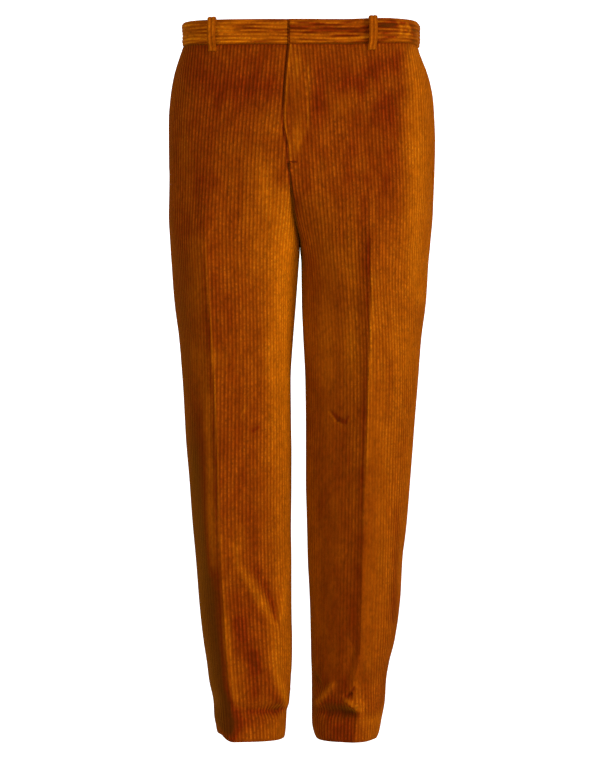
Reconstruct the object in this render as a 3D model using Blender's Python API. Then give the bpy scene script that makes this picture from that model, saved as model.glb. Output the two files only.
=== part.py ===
"""Wide-wale corduroy trousers, filled out as if worn, with nobody in them.

Run with blender --background --python part.py. Metres, +Z up, the front faces -Y.
The origin is the middle of the waist, level with the waistband's top edge, so heights are drops below it.
"right" and "left" are the wearer's. Each half is drawn with x positive outwards, and the right half is
mirrored.
"""

from collections import namedtuple

import bmesh
import bpy
import numpy as np

# ---- Driving dimensions

CLOTH = 0.0018
SEAM_GAP = 0.0003
WAISTBAND_HEIGHT = 0.0365
WAISTBAND_PROUD = 0.0013
WAISTBAND_THICKNESS = 0.0040
FLY_END = 0.2100
CLEFT_TOP = 0.2120
FORK_DROP = 0.2900
LEGS_ROUND_DROP = 0.4000
CREASE_SET_DROP = 0.3300
HEM_DROP = 1.0620
HEM_TURN_UP = 0.0360
# How far, in rows of a millimetre, the tables' curves are softened to each side.
SOFTEN = 9

Half = namedtuple("Half", "sign name")
RIGHT = Half(-1, "right")
LEFT = Half(1, "left")
HALVES = (RIGHT, LEFT)

# Sections of the whole garment, in millimetres, before the turn below. Outer and inner are distances from
# the middle plane to each leg's silhouette; front and back are depths; mid_y is where the section is
# widest; square is the superellipse power of the outer quarters (2 is round, more is boxier).
Section = namedtuple("Section", "drop right_outer left_outer right_inner left_inner front back mid_y square")
SECTIONS = (
    Section(0, 173.5, 178, 1, -1, 94, 93, 0, 2.8),
    Section(37, 172.5, 177.2, 1, -1, 96, 95.5, 0, 2.75),
    Section(50, 176.5, 181.5, 1.2, -1.2, 101, 100, 1, 2.6),
    Section(78, 185.5, 192.5, 1.6, -1.6, 107.5, 111, 4, 2.5),
    Section(108, 190.5, 199, 2, -2, 113, 123, 7, 2.45),
    Section(138, 193, 201, 2.5, -2.5, 116.5, 132, 9, 2.4),
    Section(168, 193.5, 202, 3.2, -3.2, 118.5, 138, 11, 2.35),
    Section(210, 194, 201, 4, -4, 118.5, 138, 12, 2.3),
    Section(262, 195.5, 198.7, 3.5, -3.5, 115, 128, 12, 2.2),
    Section(290, 196.3, 197.5, 2.5, -2.5, 111, 118, 10, 2.15),
    Section(333, 195, 194, 0.2, -0.8, 104.5, 105, 7, 2.1),
    Section(347, 194, 192.5, 1.2, 0.8, 103, 102, 5, 2.1),
    Section(407, 189.5, 188.8, 5.6, 1.2, 95, 90, 0, 2.05),
    Section(467, 180.8, 181, 10.2, 3.6, 89, 80, -4, 2.05),
    Section(527, 176.3, 176.3, 13.6, 6.2, 84, 72, -8, 2.05),
    Section(617, 171.5, 168.8, 12.9, 7, 77, 63, -10, 2.05),
    Section(677, 166.3, 164.3, 13.7, 7, 72, 60, -9, 2.05),
    Section(737, 162, 159.8, 13.7, 8.5, 67, 60, -6, 2.05),
    Section(797, 156.8, 153.2, 12.5, 9.9, 62, 60, -3, 2.05),
    Section(857, 152.3, 149.8, 12.5, 12.9, 58, 60, -1, 2.05),
    Section(917, 145.8, 141.3, 11.7, 14.3, 56, 59, 0, 2.05),
    Section(947, 141, 133.5, 12.2, 14.9, 55.5, 58.5, 0, 2.05),
    Section(977, 137, 128.6, 14.2, 15.8, 55, 58, 0, 2.1),
    Section(1007, 130.3, 126.8, 18.9, 15.9, 56, 57, 0, 2.2),
    Section(1037, 128.6, 121.4, 20.4, 15.9, 58, 57, 0, 2.3),
    Section(1049, 126.3, 119.5, 21.1, 17.6, 60, 58, 0, 2.4),
    Section(1062, 124.5, 116, 22.6, 22, 62, 59, 0, 2.5),
)

# The top hangs turned a little: its front sits towards the wearer's right and its back towards the left,
# by this share of the depth. The turn is gone where the legs part.
TURN = 0.100
TURN_FADE = (0.275, 0.335)

# Where the pressed front crease is seen to run, as distances from the middle plane, in millimetres.
Crease = namedtuple("Crease", "drop right left")
CREASES = (
    Crease(0, 142, 95),
    Crease(60, 142, 98),
    Crease(150, 141, 101.5),
    Crease(250, 140, 103.5),
    Crease(330, 139, 104),
    Crease(407, 134.5, 103.8),
    Crease(458, 130.8, 102.5),
    Crease(556, 125.2, 99.5),
    Crease(629, 122.3, 97.3),
    Crease(702, 120.3, 94.4),
    Crease(791, 118, 91.8),
    Crease(865, 113.8, 89.5),
    Crease(924, 109, 87),
    Crease(968, 106, 83.4),
    Crease(1007, 103.6, 82),
    Crease(1062, 101, 80.3),
)
# How far each pressed crease's ridge stands forward (or back) of the leg's round, and how far it reaches
# inwards and outwards.
Ridge = namedtuple("Ridge", "height inner outer")
RIDGES = {
    ("right", "front"): Ridge(0.0180, 0.110, 0.026),
    ("left", "front"): Ridge(0.0270, 0.040, 0.040),
    ("right", "back"): Ridge(0.0140, 0.035, 0.035),
    ("left", "back"): Ridge(0.0140, 0.035, 0.035),
}
CREASE_START, CREASE_FULL = 0.180, 0.430
CREASE_SOFTER_FROM, CREASE_SOFTER_BY = 0.850, 0.45
INNER_SQUARE = 2.5
# How much boxier the outer quarter is in front than behind, above the fork.
FRONT_SQUARER = 0.6

# The fly: how far the left front's edge laps past the middle seam, in millimetres.
Lap = namedtuple("Lap", "drop lap")
FLY_LAPS = (Lap(0, 7), Lap(37, 7.5), Lap(100, 11), Lap(145, 12), Lap(169, 8), Lap(182, 4.5), Lap(210, 2.5))
FLY_LIFT = 0.0014
FLY_UNDERLAP = 0.020
FLY_FLAT, FLY_SHOULDER = 0.022, 0.045
FLY_FADE = 0.018
PLY_GAP = 0.0008
BAND_LAP_LIFT, BAND_LAP_PLY = 0.0016, 0.0020

# The side pockets: a slit in each side seam with a facing behind it.
POCKET_TOP, POCKET_BOTTOM = 0.046, 0.211
POCKET_FADE = 0.008
POCKET_LIFT = 0.0012
POCKET_REACH = 0.030
FACING_START = 0.0010
SEAM_FORWARD = {"right": 0.022, "left": 0.034}
SEAM_BACK_IN_LINE = 0.360

# The largest folds. Each runs between two points of the front or back view and stands proud (height
# above 0) or sinks in; all in millimetres, x outwards from the middle plane.
Fold = namedtuple("Fold", "half face x0 drop0 x1 drop1 width height")
FOLDS = (
    Fold("right", "front", 96, 770, 40, 884, 11, 4.0),
    Fold("right", "front", 19, 840, 38, 884, 9, 2.5),
    Fold("right", "front", 38, 884, 27, 1008, 9, 4.0),
    Fold("right", "front", 60, 900, 52, 1016, 20, -6.0),
    Fold("right", "front", 92, 1012, 36, 1014, 10, -3.0),
    Fold("left", "front", 79, 978, 66, 996, 8, 3.5),
    Fold("left", "front", 66, 996, 87, 1018, 8, 4.5),
    Fold("left", "front", 30, 1014, 74, 1012, 11, -7.5),
    Fold("left", "front", 45, 980, 25, 1007, 9, 3.0),
    Fold("right", "back", 150, 330, 60, 372, 20, -5.0),
    Fold("left", "back", 148, 338, 66, 366, 18, -4.5),
    Fold("right", "back", 140, 610, 50, 640, 20, -6.0),
    Fold("right", "back", 120, 690, 40, 664, 16, -4.0),
    Fold("left", "back", 132, 622, 44, 648, 20, -5.5),
    Fold("left", "back", 112, 700, 30, 676, 16, -4.0),
    Fold("right", "back", 112, 988, 46, 1004, 12, -5.0),
    Fold("left", "back", 100, 994, 36, 1006, 12, -5.0),
)
HEM_LIFT = {"right": 0.0090, "left": 0.0015}
HEM_LIFT_TOP = 1.000
HEM_LIFT_FULL, HEM_LIFT_END = 0.046, 0.080

# The belt loops: where each sits on the waist. at is the distance from the middle plane before the turn,
# in millimetres.
Loop = namedtuple("Loop", "name half face at")
LOOPS = (
    Loop("belt_loop_front_right", RIGHT, "front", 120),
    Loop("belt_loop_front_left", LEFT, "front", 114),
    Loop("belt_loop_back_right", RIGHT, "back", 96),
    Loop("belt_loop_back_left", LEFT, "back", 96),
    Loop("belt_loop_back_centre", LEFT, "back", 0),
)
LOOP_WIDTH = 0.0116
LOOP_THICKNESS = 0.0026
# The loop's middle line: its drop, and its height above the cloth under it, in millimetres.
Arch = namedtuple("Arch", "drop height")
LOOP_ARCH = (
    Arch(4.0, 3.1),
    Arch(-1.2, 3.7),
    Arch(-3.4, 5.6),
    Arch(-1.8, 7.9),
    Arch(5.0, 9.0),
    Arch(20.0, 9.2),
    Arch(31.0, 8.8),
    Arch(38.4, 5.2),
    Arch(42.8, 2.4),
    Arch(48.5, 1.9),
)

# Colours of the finish, linear.
RUST = (0.305, 0.062, 0.004, 1)
RUST_DARK = (0.230, 0.042, 0.003, 1)


# ---- The form


def smooth_column(table, column):
    """A column sampled every millimetre on a curve through its rows that never overshoots, then softened."""
    at = np.array([row.drop for row in table], float)
    value = np.array([getattr(row, column) for row in table], float)
    secant = np.diff(value) / np.diff(at)
    agree = secant[:-1] * secant[1:] > 0
    mean = 2 * secant[:-1] * secant[1:] / np.where(agree, secant[:-1] + secant[1:], 1)
    slope = np.concatenate([secant[:1], np.where(agree, mean, 0), secant[-1:]])
    grid = np.arange(at[0], at[-1] + 1)
    k = np.clip(np.searchsorted(at, grid, side="right") - 1, 0, len(at) - 2)
    span = at[k + 1] - at[k]
    t = (grid - at[k]) / span
    curve = value[k] * (1 + 2 * t) * (1 - t) ** 2 + value[k + 1] * t * t * (3 - 2 * t)
    curve += span * (slope[k] * t * (1 - t) ** 2 - slope[k + 1] * t * t * (1 - t))
    window = np.hanning(2 * SOFTEN + 3)[1:-1]
    padded = np.pad(curve, SOFTEN, mode="reflect", reflect_type="odd")
    return grid / 1000, np.convolve(padded, window / window.sum(), "valid") / 1000


SMOOTHED = {}


def table_value(table, column, drop):
    """A column of a table at a drop, both in metres."""
    key = (id(table), column)
    if key not in SMOOTHED:
        SMOOTHED[key] = smooth_column(table, column)
    return float(np.interp(drop, *SMOOTHED[key]))


def ease(low, high, value):
    t = np.clip((value - low) / (high - low), 0, 1)
    return t * t * (3 - 2 * t)


def turned(half, points, drop):
    """Points of a half, x outwards, moved sideways by the garment's turn."""
    moved = np.array(points, float)
    moved[..., 0] += half.sign * turn_share(drop) * moved[..., 1]
    return moved


def turn_share(drop):
    return TURN * (1 - ease(*TURN_FADE, drop))


def crease_x(half, face, drop):
    """How far out the crease lies before the turn. The back one mirrors the front one within the leg."""
    x = table_value(CREASES, half.name, drop)
    if face == "back":
        inner = table_value(SECTIONS, half.name + "_inner", drop)
        x = inner + table_value(SECTIONS, half.name + "_outer", drop) - x
    depth = table_value(SECTIONS, face, drop) * (-1 if face == "front" else 1)
    return x - half.sign * turn_share(drop) * depth


def crest(half, face, drop):
    """How far out the section's front-most or back-most point lies: on the crease in the leg."""
    inner = table_value(SECTIONS, half.name + "_inner", drop)
    return inner + (crease_x(half, face, drop) - inner) * ease(CLEFT_TOP, CREASE_SET_DROP, drop)


def middle_gap(drop):
    """Half the space between the two halves: a seam's gap above, a little more where the thighs touch."""
    return SEAM_GAP / 2 + 0.0007 * ease(CLEFT_TOP, FORK_DROP, drop)


def ridge_at(half, face, x, inner, outer, drop):
    """How far the crease's ridge stands out at distances x from the middle plane: nothing at both edges."""
    ridge = RIDGES[half.name, face]
    crease = crease_x(half, face, drop)
    strength = ease(CREASE_START, CREASE_FULL, drop)
    strength *= 1 - CREASE_SOFTER_BY * ease(CREASE_SOFTER_FROM, HEM_DROP, drop)
    past = x - crease
    share = np.where(past > 0, past / (outer - crease), -past / (crease - inner)).clip(0, 1)
    fall = np.exp(-abs(past) / np.where(past > 0, ridge.outer, ridge.inner))
    return ridge.height * strength * fall * (1 - share**5)


def half_curve(half, face, drop):
    """One half of a section, seen from above: from the side, round the front or back, to the middle edge."""
    sign = -1 if face == "front" else 1
    outer = table_value(SECTIONS, half.name + "_outer", drop)
    inner = table_value(SECTIONS, half.name + "_inner", drop) + middle_gap(drop)
    depth = sign * table_value(SECTIONS, face, drop)
    mid_y = table_value(SECTIONS, "mid_y", drop)
    square = 1000 * table_value(SECTIONS, "square", drop)
    if face == "front":
        square += FRONT_SQUARER * (1 - ease(0.240, 0.340, drop))
    top = max(crest(half, face, drop), inner)
    turn = np.linspace(0, np.pi / 2, 90)
    sine, cosine = np.sin(turn), np.cos(turn).clip(0)
    x = top + (outer - top) * cosine ** (2 / square)
    y = mid_y + (depth - mid_y) * sine ** (2 / square)
    if drop > CLEFT_TOP:
        meet = depth + (mid_y - depth) * ease(CLEFT_TOP, LEGS_ROUND_DROP, drop)
        share = 1 - (1 - min(1.0, (drop - CLEFT_TOP) / (FORK_DROP - CLEFT_TOP)) ** 2) ** 0.5
        edge = depth + (mid_y - depth) * share
        x = np.append(x, top - (top - inner) * sine[1:] ** (2 / INNER_SQUARE))
        y = np.append(y, meet + (depth - meet) * cosine[1:] ** (2 / INNER_SQUARE))
        if abs(edge - meet) > 1e-5:
            x, y = np.append(x, inner), np.append(y, edge)
    y = y + sign * ridge_at(half, face, x, inner, outer, drop)
    return np.stack([x, y], axis=1)


def arc_of(line):
    return np.append(0, np.cumsum(np.linalg.norm(np.diff(line, axis=0), axis=1)))


def along(line, arc, at):
    return np.stack([np.interp(at, arc, line[:, k]) for k in range(2)], axis=-1)


def seam_forward(half, drop):
    return SEAM_FORWARD[half.name] * (1 - ease(FLY_END, SEAM_BACK_IN_LINE, drop))


def panel_line(half, face, drop):
    """A panel's line at one level, from the side seam to past its middle edge, and how far along that edge is."""
    front = half_curve(half, "front", drop)
    front_arc = arc_of(front)
    shift = seam_forward(half, drop)
    if face == "back":
        lead = along(front, front_arc, np.linspace(shift, 0, 6)[:-1])
        line = np.concatenate([lead, half_curve(half, "back", drop)])
        return line, arc_of(line)[-1]
    line = np.concatenate([along(front, front_arc, [shift]), front[front_arc > shift + 1e-6]])
    length = arc_of(line)[-1]
    if drop < CLEFT_TOP:
        other = half_curve(RIGHT if half is LEFT else LEFT, "front", drop)[::-1]
        other = other * (-1, 1)
        line = np.concatenate([line, other[arc_of(other) < 0.060][1:]])
    return line, length


def crease_place(half, face, line, drop):
    """How far along the panel's line the crease lies."""
    x = crease_x(half, face, drop)
    outermost = int(line[:, 0].argmax())
    rest = line[outermost:]
    return arc_of(line)[outermost] + float(np.interp(-x, -rest[:, 0], arc_of(rest)))


def fold_height(half, face, x, drop):
    """How far the largest folds move the cloth outwards, at distances x from the middle of the view."""
    total = np.zeros(len(x))
    for fold in FOLDS:
        if fold.half != half.name or fold.face != face:
            continue
        start = np.array((fold.x0, fold.drop0)) / 1000
        run = np.array((fold.x1, fold.drop1)) / 1000 - start
        offset = np.stack([x, np.full(len(x), drop)], axis=1) - start
        t = np.clip(offset @ run / (run @ run), 0, 1)
        away = np.linalg.norm(offset - t[:, None] * run, axis=1)
        total += fold.height / 1000 * np.exp(-((away * 1000 / fold.width) ** 2))
    return total


def lap(drop):
    return table_value(FLY_LAPS, "lap", drop)


def fly_offset(half, past_middle, drop):
    """How far the fly moves each front: the left one lies over the right one. past_middle is negative on a
    front's own side."""
    fade = 1 - ease(FLY_END, FLY_END + FLY_FADE, drop)
    if half is LEFT:
        return FLY_LIFT * fade * ease(-FLY_SHOULDER, -FLY_FLAT, past_middle)
    sunk = CLOTH + PLY_GAP - FLY_LIFT
    return -sunk * fade * ease(-lap(drop) - FLY_FLAT, -lap(drop) - 0.003, past_middle)


def pocket_lift(distance, drop):
    """How far the front's edge stands off at the pocket's mouth, at a distance from the side seam."""
    opens = ease(POCKET_TOP - POCKET_FADE, POCKET_TOP, drop)
    closes = 1 - ease(POCKET_BOTTOM, POCKET_BOTTOM + POCKET_FADE, drop)
    return POCKET_LIFT * opens * closes * (1 - ease(0, POCKET_REACH, distance))


def hem_lift(half, distance, drop):
    """How far the hem rises near the side seam."""
    near = 1 - ease(HEM_LIFT_FULL, HEM_LIFT_END, distance)
    return HEM_LIFT[half.name] * near * ease(HEM_LIFT_TOP, HEM_DROP, drop)


def place(half, line, at, drop):
    """The points at distances along a line, turned and with the half's sign applied, as rows of x, y, z."""
    flat = along(turned(half, line, drop), arc_of(line), np.asarray(at, float))
    return np.stack([half.sign * flat[..., 0], flat[..., 1], np.full(len(flat), -drop)], axis=-1)


def form_row(half, face, drop, columns_at):
    """A row of a panel's bare form: its points, their outward normals, their distances from the side seam,
    the panel's whole length there and where its crease lies. The waist edge and the hem are cut square."""
    step = 0.0008
    rows = {}
    for level in (drop - step, drop, drop + step):
        line, length = panel_line(half, face, level)
        crease = crease_place(half, face, line, level)
        at = np.array(columns_at(level, length, crease))
        rows[level] = (line, length, crease, at, place(half, line, at, level))
    line, length, crease, at, points = rows[drop]
    ahead = place(half, line, at + 0.0006, drop) - place(half, line, at - 0.0006, drop)
    normals = np.cross(ahead, rows[drop - step][4] - rows[drop + step][4])
    if drop in (PANEL_DROPS[0], PANEL_DROPS[-1]):
        normals[:, 2] = 0
    normals /= np.linalg.norm(normals, axis=1)[:, None]
    return points, normals * (-half.sign if face == "front" else half.sign), at, length, crease


# ---- Building solids


def material(name, colour, roughness):
    made = bpy.data.materials.new(name)
    made.use_nodes = True
    shader = made.node_tree.nodes["Principled BSDF"]
    shader.inputs["Base Color"].default_value = colour
    shader.inputs["Roughness"].default_value = roughness
    shader.inputs["Metallic"].default_value = 0.0
    return made


def wall(name, outer, inner, finish, garment):
    """A closed solid between two grids of points, outer and inner, each rows x columns x 3."""
    mesh = bmesh.new()
    rows, columns = outer.shape[:2]
    skins = []
    for grid in (outer, inner):
        skins.append([[mesh.verts.new(grid[i, j]) for j in range(columns)] for i in range(rows)])
    for skin in skins:
        for i in range(rows - 1):
            for j in range(columns - 1):
                mesh.faces.new((skin[i][j], skin[i][j + 1], skin[i + 1][j + 1], skin[i + 1][j]))
    rim = [(i, 0) for i in range(rows)]
    rim += [(rows - 1, j) for j in range(1, columns)]
    rim += [(i, columns - 1) for i in range(rows - 2, -1, -1)]
    rim += [(0, j) for j in range(columns - 2, 0, -1)]
    for (i, j), (k, m) in zip(rim, rim[1:] + rim[:1]):
        mesh.faces.new((skins[0][i][j], skins[0][k][m], skins[1][k][m], skins[1][i][j]))
    bmesh.ops.recalc_face_normals(mesh, faces=mesh.faces)
    data = bpy.data.meshes.new(name)
    mesh.to_mesh(data)
    mesh.free()
    data.shade_smooth()
    data.set_sharp_from_angle(angle=np.radians(50))
    data.materials.append(finish)
    made = bpy.data.objects.new(name, data)
    bpy.context.scene.collection.objects.link(made)
    made.parent = garment
    return made


# ---- The panels

TRUNK_DROPS = (0.052, 0.080, 0.110, 0.140, 0.170, 0.192)
FLY_END_DROPS = (FLY_END - 0.0005, FLY_END + 0.0005)
CLEFT_DROPS = (0.228, 0.244, 0.258, 0.270, 0.280, 0.287)
THIGH_DROPS = (0.302, 0.318, 0.338, 0.364, 0.400, 0.440, 0.480, 0.520, 0.560)
SHIN_DROPS = (0.600, 0.636, 0.672, 0.708, 0.744, 0.780, 0.812, 0.842, 0.868, 0.892, 0.918, 0.944, 0.966)
BREAK_DROPS = (0.982, 0.996, 1.008, 1.018)
HEM_STEP = HEM_DROP - HEM_TURN_UP
HEM_DROPS = (HEM_STEP - 0.0008, HEM_STEP + 0.0008, 1.044, HEM_DROP)
PANEL_DROPS = (
    (WAISTBAND_HEIGHT + SEAM_GAP,)
    + TRUNK_DROPS
    + FLY_END_DROPS
    + CLEFT_DROPS
    + (FORK_DROP,)
    + THIGH_DROPS
    + SHIN_DROPS
    + BREAK_DROPS
    + HEM_DROPS
)

# Columns of a panel: shares of the way from the side seam to the crease, shares from there to the bend
# into the crotch, then the bend and the straight stretch to the middle edge.
SIDE_SHARES = {"front": (0.2, 0.45, 0.72, 1.0), "back": (0.13, 0.32, 0.62, 1.0)}
INNER_SHARES = (0.34, 0.67, 1.0)
BEND_STEP = 0.024
LEAST_STRAIGHT = 0.022


def straight_part(half, face, drop):
    """How much of a panel's line, from its middle edge back, runs straight along the middle plane."""
    if drop <= CLEFT_TOP:
        return LEAST_STRAIGHT
    depth = table_value(SECTIONS, face, drop) + abs(table_value(SECTIONS, "mid_y", drop))
    share = 1 - (1 - min(1.0, (drop - CLEFT_TOP) / (FORK_DROP - CLEFT_TOP)) ** 2) ** 0.5
    return max(LEAST_STRAIGHT, depth * (share - ease(CLEFT_TOP, LEGS_ROUND_DROP, drop)))


def panel_columns(half, face):
    """A function that gives a row's columns as distances from the side seam."""

    def columns_at(drop, length, crease):
        side = [SEAM_GAP / 2 + share * (crease - SEAM_GAP / 2) for share in (0,) + SIDE_SHARES[face]]
        if face == "back" or drop >= FLY_END:
            straight = length - straight_part(half, face, drop)
            middle = [straight - 2 * BEND_STEP, straight - BEND_STEP, straight, length - SEAM_GAP / 2]
        elif half is LEFT:
            middle = [length - FLY_SHOULDER, length - FLY_FLAT, length - 0.002, length + lap(drop)]
        else:
            edge = length - lap(drop)
            middle = [edge - 2 * FLY_FLAT, edge - FLY_FLAT, edge - 0.003, length + FLY_UNDERLAP]
        return side + [crease + share * (middle[0] - crease) for share in INNER_SHARES] + middle[1:]

    return columns_at


def panel(half, face, finish, garment):
    outer, inner = [], []
    for drop in PANEL_DROPS:
        thickness = 2 * CLOTH if drop > HEM_STEP else CLOTH
        points, normals, at, length, crease = form_row(half, face, drop, panel_columns(half, face))
        rise = fold_height(half, face, half.sign * points[:, 0], drop)
        if face == "front":
            rise += fly_offset(half, at - length, drop) + pocket_lift(at, drop)
        points[:, 2] += hem_lift(half, at, drop)
        outer.append(points + normals * rise[:, None])
        inner.append(points + normals * (rise[:, None] - thickness))
    return wall(f"{face}_{half.name}", np.array(outer), np.array(inner), finish, garment)


# ---- Pocket facings


def pocket_facing(half, finish, garment):
    """The strip behind a side pocket's mouth. It lies under the front's first row of faces, on their chords."""
    inside = [drop for drop in PANEL_DROPS if POCKET_TOP < drop < FLY_END]
    outer, inner = [], []

    def columns_at(drop, length, crease):
        return FACING_START, SIDE_SHARES["front"][0] * crease - FACING_START

    for drop in [POCKET_TOP - 0.002] + inside + [POCKET_BOTTOM + 0.003]:
        points, normals, at, _length, _crease = form_row(half, "front", drop, columns_at)
        depth = pocket_lift(at, drop)[:, None] - CLOTH - PLY_GAP
        outer.append(points + normals * depth)
        inner.append(points + normals * (depth - CLOTH))
    return wall(f"pocket_facing_{half.name}", np.array(outer), np.array(inner), finish, garment)


# ---- The waistband


def band_line(half, drop):
    """The waist at one level from the middle of the back, round the side, to past the middle of the front."""
    back = half_curve(half, "back", drop)[::-1]
    front = half_curve(half, "front", drop)
    other = half_curve(RIGHT if half is LEFT else LEFT, "front", drop)[::-1] * (-1, 1)
    past = other[arc_of(other) < 0.060][1:]
    line = np.concatenate([back, front[1:], past])
    return line, arc_of(np.concatenate([back, front[1:]]))[-1]


def waistband(half, finish, garment):
    lap_here = lap(0.018)
    outer, inner = [], []
    for drop in (WAISTBAND_HEIGHT, WAISTBAND_HEIGHT - 0.002, WAISTBAND_HEIGHT / 2, 0.002, 0.0):
        line, length = band_line(half, drop)
        edge = length - lap_here
        if half is LEFT:
            last = (length - FLY_SHOULDER, length - FLY_FLAT, length, length + lap_here)
        else:
            last = (edge - FLY_FLAT, edge - 0.003, length, length + FLY_UNDERLAP - 0.002)
        at = np.concatenate([np.linspace(SEAM_GAP / 2, last[0], 15), last[1:]])
        points = place(half, line, at, drop)
        ahead = place(half, line, at + 0.0006, drop) - place(half, line, at - 0.0006, drop)
        normals = -half.sign * np.stack([ahead[:, 1], -ahead[:, 0], np.zeros(len(at))], axis=1)
        normals /= np.linalg.norm(normals, axis=1)[:, None]
        tuck = ease(0.001, 0, drop) + ease(WAISTBAND_HEIGHT - 0.001, WAISTBAND_HEIGHT, drop)
        out = np.full(len(at), WAISTBAND_PROUD - 0.0008 * tuck)
        into = np.full(len(at), WAISTBAND_PROUD - WAISTBAND_THICKNESS)
        if half is LEFT:
            lapped = ease(-FLY_SHOULDER, -FLY_FLAT, at - length)
            out += BAND_LAP_LIFT * lapped
            into += (WAISTBAND_THICKNESS - BAND_LAP_PLY + BAND_LAP_LIFT) * lapped
        else:
            sunk = BAND_LAP_PLY + PLY_GAP - BAND_LAP_LIFT
            out -= sunk * ease(-lap_here - FLY_FLAT, -lap_here - 0.003, at - length)
        outer.append(points + normals * out[:, None])
        inner.append(points + normals * into[:, None])
    return wall(f"waistband_{half.name}", np.array(outer), np.array(inner), finish, garment)


# ---- Belt loops


def loop_place(loop, drop):
    """The waist's surface where a loop sits, and its outward and sideways directions."""
    line = half_curve(loop.half, loop.face, max(drop, 0))
    outermost = int(line[:, 0].argmax())
    rest = line[outermost:]
    at = arc_of(line)[outermost] + float(np.interp(-loop.at / 1000, -rest[:, 0], arc_of(rest)))
    before, point, after = place(loop.half, line, np.clip((at - 0.0006, at, at + 0.0006), 0, None), drop)
    side = (after - before) / np.linalg.norm(after - before)
    if loop.at == 0:
        side = np.array((1.0, 0, 0))
    outward = np.array((side[1], -side[0], 0))
    if outward @ point < 0:
        outward = -outward
    return point, outward, side


def belt_loop(loop, finish, garment):
    """A strip that follows the arch, as wide as the loop, with its face square to its run."""
    centres, across, outwards = [], [], []
    for arch in LOOP_ARCH:
        point, outward, side = loop_place(loop, arch.drop / 1000)
        centres.append(point + outward * arch.height / 1000)
        across.append(side)
        outwards.append(outward)
    run = np.gradient(np.array(centres), axis=0)
    facing = np.cross(across, run)
    facing /= np.linalg.norm(facing, axis=1)[:, None]
    straight = len(LOOP_ARCH) // 2
    if facing[straight] @ outwards[straight] < 0:
        facing = -facing
    edges = np.linspace(-0.5, 0.5, 3) * LOOP_WIDTH
    middle = np.array(centres)[:, None] + np.array(across)[:, None] * edges[:, None]
    lift = facing[:, None] * LOOP_THICKNESS / 2
    return wall(loop.name, middle + lift, middle - lift, finish, garment)


# ---- The garment


def main():
    for old in list(bpy.data.objects):
        bpy.data.objects.remove(old)
    garment = bpy.data.objects.new("trousers", None)
    bpy.context.scene.collection.objects.link(garment)
    corduroy = material("corduroy", RUST, 0.85)
    facing_cloth = material("corduroy_facing", RUST_DARK, 0.9)
    for half in HALVES:
        for face in ("front", "back"):
            panel(half, face, corduroy, garment)
        waistband(half, corduroy, garment)
        pocket_facing(half, facing_cloth, garment)
    for loop in LOOPS:
        belt_loop(loop, corduroy, garment)


main()
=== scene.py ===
"""Wide-wale corduroy trousers, filled out as if worn, with nobody in them: the looks.

Metres, +Z up, the front faces -Y, the origin in the middle of the waist. "right" and "left" are the wearer's.
Each half is drawn with x positive outwards, and the right half is mirrored. Every cut piece is a thin closed
shell on its CAD solid's form, and the cloth's ribs run along it as real ridges, square to the pressed crease.
"""

from collections import namedtuple

import bpy
import numpy as np
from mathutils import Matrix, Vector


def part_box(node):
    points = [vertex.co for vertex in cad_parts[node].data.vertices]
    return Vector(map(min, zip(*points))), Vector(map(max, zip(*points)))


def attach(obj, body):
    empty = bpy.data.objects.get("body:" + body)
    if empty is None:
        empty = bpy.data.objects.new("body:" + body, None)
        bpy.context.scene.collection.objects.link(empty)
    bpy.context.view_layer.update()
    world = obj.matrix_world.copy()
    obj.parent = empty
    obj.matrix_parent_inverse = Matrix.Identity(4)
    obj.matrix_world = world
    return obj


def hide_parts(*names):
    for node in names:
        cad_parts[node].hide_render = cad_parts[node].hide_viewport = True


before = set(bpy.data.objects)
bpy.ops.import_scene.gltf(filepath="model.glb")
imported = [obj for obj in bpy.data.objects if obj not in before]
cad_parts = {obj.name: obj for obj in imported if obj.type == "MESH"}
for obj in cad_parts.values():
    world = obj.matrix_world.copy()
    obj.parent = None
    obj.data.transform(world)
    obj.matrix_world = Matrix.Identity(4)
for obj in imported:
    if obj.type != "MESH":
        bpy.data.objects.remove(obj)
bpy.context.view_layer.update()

# ---- Sizes, as the CAD has them

CLOTH = 0.0018
SEAM_GAP = 0.0003
PLY_GAP = 0.0008
HEM_TURN_UP = 0.0360
FLY_END = 0.2100
CLEFT_TOP = 0.2120
FORK_DROP = 0.2900
LEGS_ROUND_DROP = 0.4000
CREASE_SET_DROP = 0.3300
THIGH_GAP, THIGH_GAP_GROWS = 0.0008, 0.030
WAISTBAND_HEIGHT = -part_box("waistband_left")[0][2]
HEM_DROP = -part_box("front_left")[0][2]

Half = namedtuple("Half", "sign name")
RIGHT = Half(-1, "right")
LEFT = Half(1, "left")
HALVES = (RIGHT, LEFT)

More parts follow.
